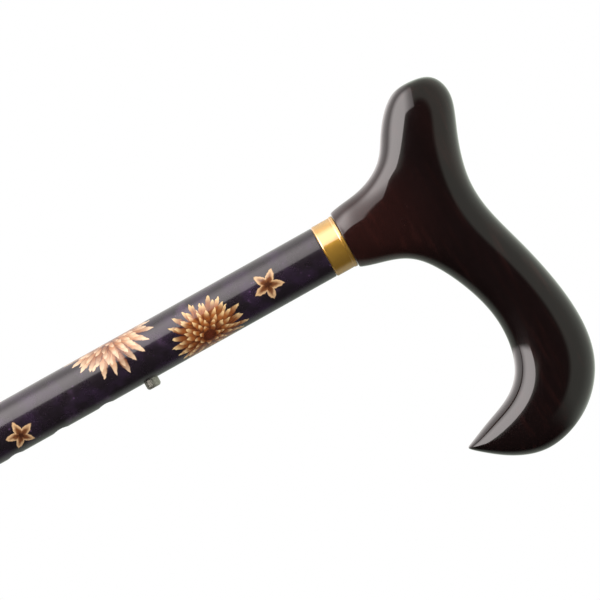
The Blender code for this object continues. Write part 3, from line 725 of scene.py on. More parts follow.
def joined(name: str, pieces: Iterable[Piece]) -> Piece:
    """Several plain pieces as one.

    Args:
        name: the new piece's name.
        pieces: the pieces, which are removed.

    Returns:
        The new piece.
    """
    shape = bmesh.new()
    for piece in pieces:
        shape.from_mesh(piece.data)
        bpy.data.objects.remove(piece, do_unlink=True)
    return link(name, mesh_of(name, shape))


def mark_sharp(mesh: bpy.types.Mesh) -> None:
    """Shade a mesh smooth, but for its sharp edges.

    Args:
        mesh: the mesh.
    """
    shape = bmesh.new()
    shape.from_mesh(mesh)
    for face in shape.faces:
        face.smooth = True
    for edge in shape.edges:
        edge.smooth = edge.calc_face_angle(0.0) < SHARP
    shape.to_mesh(mesh)
    shape.free()


def turned(name: str, profile: Sequence[Point], closed: bool = True, segments: int = 96,
           axis: Sequence[float] = AXIS_Z, foot: Sequence[float] = (0, 0, 0)) -> Piece:
    """A turned piece about a line.

    Args:
        name: the piece's name.
        profile: (radius, height) points, down the outer side first.
        closed: whether the last point joins the first. If not, both ends lie on the axis.
        segments: how many facets it has round.
        axis: the line's direction.
        foot: where the line's height is 0.

    Returns:
        The object, at the origin.
    """
    shape = bmesh.new()
    rows = []
    for radius, height in profile:
        if radius < ON_AXIS:
            rows.append([shape.verts.new((0.0, 0.0, height))] * segments)
            continue
        angles = [FULL_TURN * i / segments for i in range(segments)]
        rows.append([shape.verts.new((radius * math.cos(a), radius * math.sin(a), height)) for a in angles])
    pairs = list(zip(rows, rows[1:])) + ([(rows[-1], rows[0])] if closed else [])
    for upper, lower in pairs:
        for i in range(segments):
            j = (i + 1) % segments
            shape.faces.new(dict.fromkeys([upper[i], lower[i], lower[j], upper[j]]))
    turn = Vector(axis).to_track_quat("Z", "Y").to_matrix().to_4x4()
    shape.transform(Matrix.Translation(Vector(foot)) @ turn)
    mesh = mesh_of(name, shape)
    mark_sharp(mesh)
    return link(name, mesh)


def node_of(piece: Piece) -> str:
    """The CAD node that a piece is named for."""
    return piece.name.removesuffix(SHOWN)


def settled(piece: Piece) -> Piece:
    """Turn an object with modifiers into a plain mesh.

    Args:
        piece: the object, which is removed.

    Returns:
        The plain object, at the origin, with the same name.
    """
    name = node_of(piece)
    bpy.context.view_layer.update()
    shown = piece.evaluated_get(bpy.context.evaluated_depsgraph_get())
    mesh = bpy.data.meshes.new_from_object(shown)
    bpy.data.objects.remove(piece, do_unlink=True)
    mesh.name = name
    return link(name, mesh)


def bored(piece: Piece, cutters: Iterable[Piece]) -> Piece:
    """Cut a piece with others, which are removed.

    Args:
        piece: the piece to cut.
        cutters: closed shapes.

    Returns:
        The cut piece as a plain mesh.
    """
    tools = list(cutters)
    for tool in tools:
        step = piece.modifiers.new(tool.name, "BOOLEAN")
        step.operation = "DIFFERENCE"
        step.solver = "EXACT"
        step.object = tool
    made = settled(piece)
    for tool in tools:
        bpy.data.objects.remove(tool, do_unlink=True)
    mark_sharp(made.data)
    return made


# Geometry Nodes


class Rule(Wiring):
    """A Geometry Nodes tree with named inputs, which makes a plain mesh."""

    KINDS: ClassVar[dict[type, str]] = {int: "NodeSocketInt", float: "NodeSocketFloat"}

    def __init__(self, name: str, sizes: Mapping[str, float]) -> None:
        """Make the tree with its inputs, a group input and a group output.

        Args:
            name: the tree's name.
            sizes: each input's name and first value.
        """
        super().__init__(bpy.data.node_groups.new(name, "GeometryNodeTree"))
        face = self.tree.interface
        face.new_socket("Geometry", in_out="INPUT", socket_type="NodeSocketGeometry")
        face.new_socket("Geometry", in_out="OUTPUT", socket_type="NodeSocketGeometry")
        for key, value in sizes.items():
            socket = face.new_socket(key, in_out="INPUT", socket_type=self.KINDS[type(value)])
            socket.default_value = value
        face.new_socket("Material", in_out="INPUT", socket_type="NodeSocketMaterial")
        self.entry = self.tree.nodes.new("NodeGroupInput")
        self.build()

    def build(self) -> None:
        """Add the rule's own nodes and end with close."""
        raise NotImplementedError

    def given(self, name: str) -> Term:
        """One of the tree's inputs."""
        return Term(self, self.entry.outputs[name])

    def swept(self, curve: Term, radius: Term, sides: Term | int) -> Term:
        """A closed round rod along a curve, with sides facets round."""
        ring = self.term("GeometryNodeCurvePrimitiveCircle", {"Resolution": sides, "Radius": radius})
        return self.term("GeometryNodeCurveToMesh", {"Curve": curve, "Profile Curve": ring, "Fill Caps": True})

    def close(self, geometry: Term) -> None:
        """Realize what was made, mark its sharp edges, give it its material and end the tree.

        Args:
            geometry: what the rule has made.
        """
        sharp = self.term("GeometryNodeInputMeshEdgeAngle") > SHARP
        whole = self.term("GeometryNodeRealizeInstances", {"Geometry": geometry})
        smooth = self.term("GeometryNodeSetShadeSmooth", {"Geometry": whole}, domain="FACE")
        edges = {"Geometry": smooth, "Selection": sharp, "Shade Smooth": False}
        edged = self.term("GeometryNodeSetShadeSmooth", edges, domain="EDGE")
        dressed = self.term("GeometryNodeSetMaterial", {"Geometry": edged, "Material": self.given("Material")})
        self.node("NodeGroupOutput", {"Geometry": dressed})

    def make(self, base: Piece, finish: Finishes, sizes: Mapping[str, float]) -> Piece:
        """Run the rule on an object and turn the result into a plain mesh.

        Args:
            base: the object that the rule works on, which is used up.
            finish: the finish that it sets.
            sizes: values for the tree's inputs, by name.

        Returns:
            The new object, with the same name.
        """
        step = base.modifiers.new(self.tree.name, "NODES")
        step.node_group = self.tree
        values = {**sizes, "Material": finish.value.material()}
        for item in self.tree.interface.items_tree:
            if item.item_type == "SOCKET" and item.in_out == "INPUT" and item.name in values:
                step[item.identifier] = values[item.name]
        base.update_tag()
        return settled(base)


class CoilRule(Rule):
    """A round wire wound round +Z, with closer curls at its ends."""

    def __init__(self) -> None:
        """Name the inputs."""
        super().__init__("wound_wire", {
            "Curls": 7, "Points per Curl": 40, "Coil Radius": 0.005, "Wire Radius": 0.0006, "Sides": 14,
            "Foot": 0.0, "Length": 0.05, "End Pitch": 0.4,
        })

    def build(self) -> None:
        """Set the points of a line along the coil and sweep the wire along it."""
        curls, fine = self.given("Curls"), self.given("Points per Curl")
        wire = self.given("Wire Radius")
        line = self.term("GeometryNodeCurvePrimitiveLine")
        run = self.term("GeometryNodeResampleCurve", {"Curve": line, "Count": curls * fine + 1.0})
        wound = self.term("GeometryNodeInputIndex") / fine
        lost = 1.0 - self.given("End Pitch")
        ends = wound.least(1.0) + (wound - (curls - 1.0)).most(0.0)
        risen = (wound - ends * lost) / (curls - lost * 2.0)
        height = self.given("Foot") + wire + (self.given("Length") - wire * 2.0) * risen
        angle = wound * FULL_TURN
        radius = self.given("Coil Radius")
        point = self.vector(angle.apply("COSINE") * radius, angle.apply("SINE") * radius, height)
        coil = self.term("GeometryNodeSetPosition", {"Geometry": run, "Position": point})
        self.close(self.swept(coil, wire, self.given("Sides")))


class CableRule(Rule):
    """A laid cable along a line of points: strands round a core."""

    def __init__(self) -> None:
        """Name the inputs."""
        super().__init__("laid_cable", {
            "Strands": 6, "Strand Radius": 0.0004, "Lay Radius": 0.0008, "Lay Length": 0.011, "Sides": 10,
        })

    def build(self) -> None:
        """Wind one strand round the guide line, turn copies of it, and add the core."""
        guide = self.term("GeometryNodeMeshToCurve", {"Mesh": self.given("Geometry")})
        _, _, height = self.parts(self.term("GeometryNodeInputPosition"))
        angle = height / self.given("Lay Length") * FULL_TURN
        lay = self.given("Lay Radius")
        shift = self.vector(angle.apply("COSINE") * lay, angle.apply("SINE") * lay, 0.0)
        wound = self.term("GeometryNodeSetPosition", {"Geometry": guide, "Offset": shift})
        thick, sides = self.given("Strand Radius"), self.given("Sides")
        strand = self.swept(wound, thick, sides)
        count = self.given("Strands")
        spots = self.term("GeometryNodeMeshLine", {"Count": count, "Offset": (0.0, 0.0, 0.0)})
        turn = self.vector(0.0, 0.0, self.term("GeometryNodeInputIndex") * FULL_TURN / count)
        ring = self.term("GeometryNodeInstanceOnPoints", {"Points": spots, "Instance": strand, "Rotation": turn})
        core = self.swept(guide, thick, sides)
        both = self.node("GeometryNodeJoinGeometry")
        for piece in (ring, core):
            self.put(piece, both.inputs[0])
        self.close(Term(self, both.outputs[0]))


class PerforationRule(Rule):
    """A row of round holes down one side of a tube."""

    def __init__(self) -> None:
        """Name the inputs."""
        super().__init__("row_of_holes", {
            "Holes": 7, "Hole Radius": 0.0031, "Pitch": 0.019, "First Height": 0.0, "Start": 0.004,
            "Reach": 0.010, "Side": 0.0, "Facets": 48,
        })

    def build(self) -> None:
        """Stand a cutter at each hole's place, turn the row to its side, and take it away."""
        first = self.vector(self.given("Start") + self.given("Reach") * 0.5, 0.0, self.given("First Height"))
        spots = self.term("GeometryNodeMeshLine", {
            "Count": self.given("Holes"), "Start Location": first,
            "Offset": self.vector(0.0, 0.0, -self.given("Pitch")),
        })
        cutter = self.term("GeometryNodeMeshCylinder", {
            "Vertices": self.given("Facets"), "Radius": self.given("Hole Radius"), "Depth": self.given("Reach"),
        })
        flat = (0.0, math.pi / 2, 0.0)
        row = self.term("GeometryNodeInstanceOnPoints", {"Points": spots, "Instance": cutter, "Rotation": flat})
        row = self.term("GeometryNodeRealizeInstances", {"Geometry": row})
        turn = self.vector(0.0, 0.0, self.given("Side"))
        row = self.term("GeometryNodeTransform", {"Geometry": row, "Rotation": turn})
        pair = {"Mesh 1": self.given("Geometry"), "Mesh 2": row}
        cut = self.term("GeometryNodeMeshBoolean", pair, operation="DIFFERENCE", solver="EXACT")
        self.close(cut)


@dataclass
class Rules:
    """The Geometry Nodes trees that the sub-assemblies share."""

    coil: CoilRule = field(default_factory=CoilRule)
    cable: CableRule = field(default_factory=CableRule)
    holes: PerforationRule = field(default_factory=PerforationRule)


# Sub-assemblies


@dataclass
class SubAssembly:
    """What every sub-assembly shares: the trees, and how a piece is dressed and carried."""

    rules: Rules
    rivet_head: ClassVar[float] = 0.0014
    rivet_hole: ClassVar[float] = 0.0015
    rivet_foot: ClassVar[float] = 0.0056

    def dress(self, piece: Piece, finish: Finishes) -> None:
        """Give a piece its finish and hide the CAD node that it stands for.

        Args:
            piece: the piece, named for its CAD node.
            finish: its finish.
        """
        piece.data.materials.clear()
        piece.data.materials.append(finish.value.material())
        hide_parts(node_of(piece))

    def fit(self, piece: Piece, finish: Finishes, body: str) -> None:
        """Dress a piece that is named for its CAD node, and carry it on its body.

        Args:
            piece: the piece, in place.
            finish: its finish.
            body: the CAD body that it moves with.
        """
        self.dress(piece, finish)
        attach(piece, body)
        LOG.info("%s: %d faces, on %s", piece.name, len(piece.data.polygons), body)

    def turn(self, name: str, profile: Sequence[Point], finish: Finishes, body: str, foot: float = 0.0,
             soft: float = SOFT, segments: int = 96) -> None:
        """Round a closed profile's corners by soft, raise it by foot, turn it and fit the piece."""
        self.fit(turned(name, raised(rounded(profile, soft), foot), segments=segments), finish, body)

    def pierced(self, piece: Piece, finish: Finishes, height: float, start: float) -> Piece:
        """Cut a rivet's hole into a piece's +Y side.

        Args:
            piece: the piece, which is used up.
            finish: its finish.
            height: the hole's height over the floor.
            start: how far from the axis the hole starts.

        Returns:
            The pierced piece.
        """
        return self.rules.holes.make(piece, finish, {
            "Holes": 1, "Hole Radius": self.rivet_hole, "First Height": height, "Start": start,
            "Reach": 0.0060, "Side": math.pi / 2, "Facets": 32,
        })

    def rivet(self, name: str, height: float, body: str) -> None:
        """A flush rivet on the +Y side, with a slightly crowned head.

        Args:
            name: the CAD node's name.
            height: its height over the floor.
            body: the CAD body that it moves with.
        """
        radius = self.rivet_head
        profile = [
            (0.0, 0.00858), (radius * 0.55, 0.00855), (radius * 0.85, 0.00846), (radius, 0.00830),
            (radius, self.rivet_foot), (0.0, self.rivet_foot),
        ]
        piece = turned(name, rounded(profile, 0.0001, False), False, 32, AXIS_Y, (0, 0, height))
        self.fit(piece, Finishes.STEEL, body)


@dataclass
class Handle(SubAssembly):
    """The derby handle, smoothed from a cage of rings, with the stud and the screw in it."""

    body: str = "handle_and_outer_tube"
    nose: float = 0.0397
    reach: float = 0.1034
    height: float = 0.0620
    thickness: float = 0.0232
    saddle: float = 0.807
    square: float = 0.80
    foot: float = 0.7781
    neck_length: float = 0.0150
    neck_radius: float = 0.0119
    neck_flare: float = 0.0014
    neck_front: float = 2.6
    neck_share: float = 0.97
    neck_square: float = 0.14
    edge: float = 0.0004
    seated: float = 0.00023
    smoothing: int = 4
    stud_hole: tuple[float, float, float] = (0.0071, 0.8136, 0.7700)
    screw_hole: tuple[float, float, float] = (0.0025, 0.8236, 0.8000)
    stud_top: float = 0.81334
    stud_foot: float = 0.7350
    stud_shoulder: float = 0.7778
    stud_slim: float = 0.0068
    stud_wide: float = 0.0088
    stud_grooves: tuple[float, ...] = (0.806, 0.799, 0.792)
    head_room: float = 0.0049
    shank: float = 0.0022
    core: float = 0.0017
    thread_foot: float = 0.7905
    thread_length: float = 0.0270

    def stations(self) -> list[tuple[float, float, float, float, float]]:
        """The bar's outline from nose to hook, as shares of the handle's sizes.

        Returns:
            Rows of the lower side's x and z, the upper side's x and z, and the thickness.
        """
        return [
            (-1.010, 0.700, -0.990, 0.845, 0.50), (-0.900, 0.585, -0.930, 0.945, 0.82),
            (-0.690, 0.480, -0.690, 0.988, 0.95), (-0.470, 0.405, -0.380, 0.890, 1.00),
            (0.010, 0.405, 0.010, self.saddle, 1.00), (0.205, 0.365, 0.150, 0.820, 1.00),
            (0.350, 0.495, 0.320, 0.912, 1.00), (0.510, 0.572, 0.500, 0.982, 1.00),
            (0.655, 0.545, 0.670, 1.008, 1.00), (0.730, 0.475, 0.812, 0.960, 0.99),
            (0.770, 0.390, 0.925, 0.818, 0.96), (0.793, 0.305, 0.990, 0.625, 0.91),
            (0.812, 0.215, 1.009, 0.425, 0.83), (0.832, 0.135, 0.965, 0.240, 0.70),
            (0.850, 0.065, 0.905, 0.110, 0.48), (0.858, 0.030, 0.868, 0.040, 0.22),
        ]

    def bar_ring(self, station: tuple[float, float, float, float, float]) -> list[Vector]:
        """The cage's eight points round the bar at one station.

        Args:
            station: one row of stations().

        Returns:
            The points from the upper one towards +Y, drawn out by what smoothing takes off.
        """
        low_x, low_z, high_x, high_z, thick = station
        low = Vector((low_x * (self.nose if low_x < 0 else self.reach), 0.0, low_z * self.height))
        high = Vector((high_x * (self.nose if high_x < 0 else self.reach), 0.0, high_z * self.height))
        swell = 6 / (4 + 2 * self.square)
        centre, up = (low + high) / 2, (high - low) / 2 * swell
        side = Vector((0.0, thick * self.thickness / 2 * swell, 0.0))
        corner = self.square
        return [
            centre + up, centre + (up + side) * corner, centre + side, centre + (side - up) * corner,
            centre - up, centre - (side + up) * corner, centre - side, centre + (up - side) * corner,
        ]

    def neck_ring(self, height: float, back: float, front: float, half: float,
                  square: float = 0.0) -> list[Vector]:
        """The cage's eight points round the neck at one height.

        Args:
            height: the ring's height over the neck's foot.
            back: its reach towards the nose.
            front: its reach towards the hook.
            half: half its thickness.
            square: how much further out its diagonal points stand.

        Returns:
            The points from +X towards +Y.
        """
        swell = 6 / (4 + 2 * math.sqrt(0.5) * (1 + square))
        centre = Vector(((front - back) / 2, 0.0, height))
        along = (front + back) / 2 * swell
        made = []
        for i in range(8):
            angle, reach = math.pi * i / 4, 1 + i % 2 * square
            side = Vector((along * math.cos(angle), half * swell * math.sin(angle), 0.0))
            made.append(centre + side * reach)
        return made

    def neck_rings(self) -> list[list[Vector]]:
        """The neck's rings from the bar down to its flat foot.

        Returns:
            Eight points for each ring, as neck_ring gives them.
        """
        half = self.neck_share * self.thickness / 2
        rim = self.neck_radius - 2 * self.edge
        rings = []
        for share in (1.0, 0.35):
            flare = self.neck_flare * share
            front = self.neck_radius + self.neck_front * flare
            back = self.neck_radius + flare
            rings.append(self.neck_ring(self.neck_length * share, back, front, half, self.neck_square))
        rings.append(self.neck_ring(self.edge, rim + self.edge, rim + self.edge, half - self.edge))
        rings.append(self.neck_ring(-self.seated, rim, rim, rim))
        inner = rim - 0.001
        rings.append(self.neck_ring(-self.seated, inner, inner, inner))
        return rings

    def cage(self) -> bpy.types.Mesh:
        """The coarse cage: the bar, with the neck let into its underside.

        Returns:
            The mesh, closed, with its faces outwards.
        """
        shape = bmesh.new()
        rings = [[shape.verts.new(point) for point in self.bar_ring(row)] for row in self.stations()]
        for index, (one, other) in enumerate(zip(rings, rings[1:])):
            for i in range(8):
                if not (i in (3, 4) and 3 <= index < 5):
                    j = (i + 1) % 8
                    shape.faces.new([one[i], other[i], other[j], one[j]])
        shape.faces.new(rings[0])
        shape.faces.new(rings[-1][::-1])
        first, middle, last = rings[3:6]
        shape.verts.remove(middle[4])
        above = [last[4], last[3], middle[3], first[3], first[4], first[5], middle[5], last[5]]
        for points in self.neck_rings():
            below = [shape.verts.new(point) for point in points]
            for i in range(8):
                j = (i + 1) % 8
                shape.faces.new([above[i], above[j], below[j], below[i]])
            above = below
        shape.faces.new(above)
        bmesh.ops.recalc_face_normals(shape, faces=shape.faces)
        shape.transform(Matrix.Translation((0.0, 0.0, self.foot)))
        return mesh_of("handle", shape)

    def build_wood(self) -> None:
        """The wooden handle, smoothed and bored for its stud and screw."""
        piece = link("handle", self.cage())
        smooth = piece.modifiers.new("smooth", "SUBSURF")
        smooth.levels = smooth.render_levels = self.smoothing
        cutters = []
        for name, hole, facets in (("stud_bore", self.stud_hole, 64), ("screw_bore", self.screw_hole, 32)):
            radius, top, foot = hole
            cutters.append(turned(name, [(0.0, top), (radius, top), (radius, foot), (0.0, foot)], False, facets))
        self.fit(bored(piece, cutters), Finishes.WOOD, self.body)

    def build_stud(self) -> None:
        """The stepped stud, with three shallow grip grooves in the wood's part."""
        slim, wide, top, foot = self.stud_slim, self.stud_wide, self.stud_top, self.stud_foot
        shoulder = self.stud_shoulder
        clear, room, seat = self.screw_hole[0], self.head_room, foot + 0.0033
        profile = [(slim - 0.001, top), (slim, top - 0.001)]
        profile += grooves(slim, slim - 0.0005, self.stud_grooves, 0.0008, 0.0004)
        profile += [
            (slim, shoulder), (wide, shoulder), (wide, foot + 0.001), (wide - 0.001, foot), (room, foot),
            (room, seat), (clear, seat), (clear, top),
        ]
        self.turn("handle_stud", profile, Finishes.ALUMINIUM, self.body)

    def build_screw(self) -> None:
        """The wood screw: a plain shank, a thread up to its point and a cross in its head."""
        shank, core, foot = self.shank, self.core, self.stud_foot
        profile = [
            (0.0, 0.82334), (0.0006, 0.8219), (core, 0.8174), (core, 0.7900), (shank, 0.7890),
            (shank, 0.7380), (0.0046, 0.7380), (0.0046, 0.7354), (0.0042, foot), (0.0, foot),
        ]
        screw = turned("handle_screw", rounded(profile, SOFT, False), False, 48)
        cross = bmesh.new()
        for sizes in ((0.0056, 0.0010, 0.0030), (0.0010, 0.0056, 0.0030)):
            spot = Matrix.Translation((0.0, 0.0, foot)) @ Matrix.Diagonal((*sizes, 1.0))
            bmesh.ops.create_cube(cross, size=1.0, matrix=spot)
        screw = bored(screw, [link("cross_recess", mesh_of("cross_recess", cross))])
        thread = self.rules.coil.make(link("thread", bpy.data.meshes.new("thread")), Finishes.STEEL, {
            "Curls": 15, "Points per Curl": 24, "Coil Radius": core, "Wire Radius": 0.00045, "Sides": 4,
            "Foot": self.thread_foot, "Length": self.thread_length, "End Pitch": 1.0,
        })
        self.fit(joined("handle_screw", [screw, thread]), Finishes.STEEL, self.body)

    def build(self) -> None:
        """Every piece of the handle."""
        self.build_wood()
        self.build_stud()
        self.build_screw()


@dataclass
class OuterTube(SubAssembly):
    """The brass band, the printed outer tube with its height holes, and the bush on its end."""

    body: str = "handle_and_outer_tube"
    foot: float = 0.5640
    head: float = 0.76893
    radius: float = 0.0100
    bore: float = 0.0091
    first_hole: float = 0.6905
    pitch: float = 0.01905
    holes: int = 7
    hole_radius: float = 0.0031
    band_foot: float = 0.7690
    band_height: float = 0.0088
    band_bore: float = 0.00905
    rolled: float = 0.0002

    def build_band(self) -> None:
        """The band, with a rolled edge under the handle."""
        height, roll, side = self.band_height, self.rolled, self.radius + 0.0002
        profile = [
            (side, height), (side + roll, height - roll), (side + roll, height - 0.0012),
            (side, height - 0.0012 - roll), (side, 0.0004), (side - 0.0004, 0.0), (self.band_bore, 0.0),
            (self.band_bore, height),
        ]
        self.turn("collar_band", profile, Finishes.BRASS, self.body, self.band_foot, TUBE_SOFT, FINE)

    def build_tube(self) -> None:
        """The outer tube with its row of holes."""
        tube = turned("outer_tube", pipe(self.radius, self.bore, self.foot, self.head), segments=FINE)
        tube = self.rules.holes.make(tube, Finishes.PRINT_OUTER, {
            "Holes": self.holes, "Hole Radius": self.hole_radius, "Pitch": self.pitch,
            "First Height": self.first_hole, "Start": 0.0044, "Reach": 0.0090, "Side": 0.0,
        })
        self.fit(tube, Finishes.PRINT_OUTER, self.body)

    def build_bush(self) -> None:
        """The moulded bush: a lip under the tube and a skirt round it, with two grip rings."""
        profile = [
            (0.01065, 0.0065), (0.01105, 0.0061), (0.01105, 0.0048), (0.01085, 0.0046), (0.01085, 0.0040),
            (0.01105, 0.0038), (0.01105, 0.0024), (0.01085, 0.0022), (0.01085, 0.0016), (0.01105, 0.0014),
            (0.01105, -0.0022), (0.01025, -0.0030), (0.0091, -0.0030), (0.0091, -0.0003), (0.01025, -0.0003),
            (0.01025, 0.0065),
        ]
        self.turn("outer_tube_bush", profile, Finishes.NYLON, self.body, self.foot, segments=FINE)

    def build(self) -> None:
        """Every piece of the outer tube."""
        self.build_band()
        self.build_tube()
        self.build_bush()


@dataclass
class HeightTube(SubAssembly):
    """The inner tube with its guide, and the snap button on its spring clip."""

    body: str = "height_tube"
    button_body: str = "button"
    foot: float = 0.5400
    head: float = 0.7105
    radius: float = 0.00875
    bore: float = 0.00755
    button_height: float = 0.6905
    button_radius: float = 0.0028
    button_hole: float = 0.0031
    button_edge: float = 0.0011
    clip_leg: float = 0.00586
    clip_width: float = 0.0066
    clip_thickness: float = 0.0006
    bend_radius: float = 0.0023
    clip_rise: float = 0.0070
    clip_reach: float = 0.0420
    clip_soft: float = 0.00012
    clip_squashed: float = 0.64
    seat_rivet: float = 0.5665
    rivet_start: float = 0.0060

    def build_tube(self) -> None:
        """The inner tube, with the button's hole and the hole of the seat's rivet."""
        tube = turned("inner_tube", pipe(self.radius, self.bore, self.foot, self.head))
        tube = self.rules.holes.make(tube, Finishes.PRINT_LOWER, {
            "Holes": 1, "Hole Radius": self.button_hole, "First Height": self.button_height, "Start": 0.0040,
            "Reach": 0.0080, "Side": 0.0,
        })
        tube = self.pierced(tube, Finishes.PRINT_LOWER, self.seat_rivet, self.rivet_start)
        self.fit(tube, Finishes.PRINT_LOWER, self.body)

    def build_guide(self) -> None:
        """The nylon guide in the tube's top end."""
        profile = [
            (0.00845, 0.0030), (0.00885, 0.0026), (0.00885, 0.0), (0.00725, 0.0), (0.00725, -0.0070),
            (0.00565, -0.0070), (0.00565, 0.0030),
        ]
        self.turn("inner_tube_guide", profile, Finishes.NYLON, self.body, self.head + 0.0003, 0.0003)

    def build_clip(self) -> None:
        """The bent strip behind the button, with a round bend and softened edges."""
        leg, bend, rise = self.clip_leg, self.bend_radius, self.clip_rise
        line = [(leg, rise), (leg, -rise)]
        line += arc((0.0, rise + bend - self.clip_reach), (bend, -bend), 0, 180, 24)
        line += [(-leg, -rise), (-leg, 0.0)]
        half = self.clip_width / 2
        shape = bmesh.new()
        rows = [[shape.verts.new((x, side, z + self.button_height)) for side in (-half, half)] for x, z in line]
        for one, other in zip(rows, rows[1:]):
            shape.faces.new([one[0], one[1], other[1], other[0]])
        strip = link("button_spring", mesh_of("button_spring", shape))
        wall = strip.modifiers.new("strip", "SOLIDIFY")
        wall.thickness = self.clip_thickness
        wall.offset = 0.0
        wall.use_even_offset = True
        soft = strip.modifiers.new("soft_edges", "BEVEL")
        soft.width = self.clip_soft
        soft.segments = 2
        soft.limit_method = "ANGLE"
        soft.angle_limit = math.radians(60)
        clip = settled(strip)
        mark_sharp(clip.data)
        self.fit(clip, Finishes.STEEL, self.body)
        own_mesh(clip)

    def build_button(self) -> None:
        """The snap button: a flat face with a rounded edge, on a foot that the clip carries."""
        side, edge = self.button_radius, self.button_edge
        profile = [(0.0, 0.01310), (side - edge, 0.01308)]
        profile += arc((side - edge, 0.01198), (edge, edge), 90, 0, 8)[1:]
        profile += [(side, 0.0064), (side - 0.0002, 0.0062), (0.0, 0.0062)]
        spot = (0.0, 0.0, self.button_height)
        button = turned("snap_button", profile, False, 64, AXIS_X, spot)
        self.fit(button, Finishes.DULL_NICKEL, self.button_body)

    def build(self) -> None:
        """Every piece of the height adjustment."""
        self.build_tube()
        self.build_guide()
        self.build_clip()
        self.build_button()


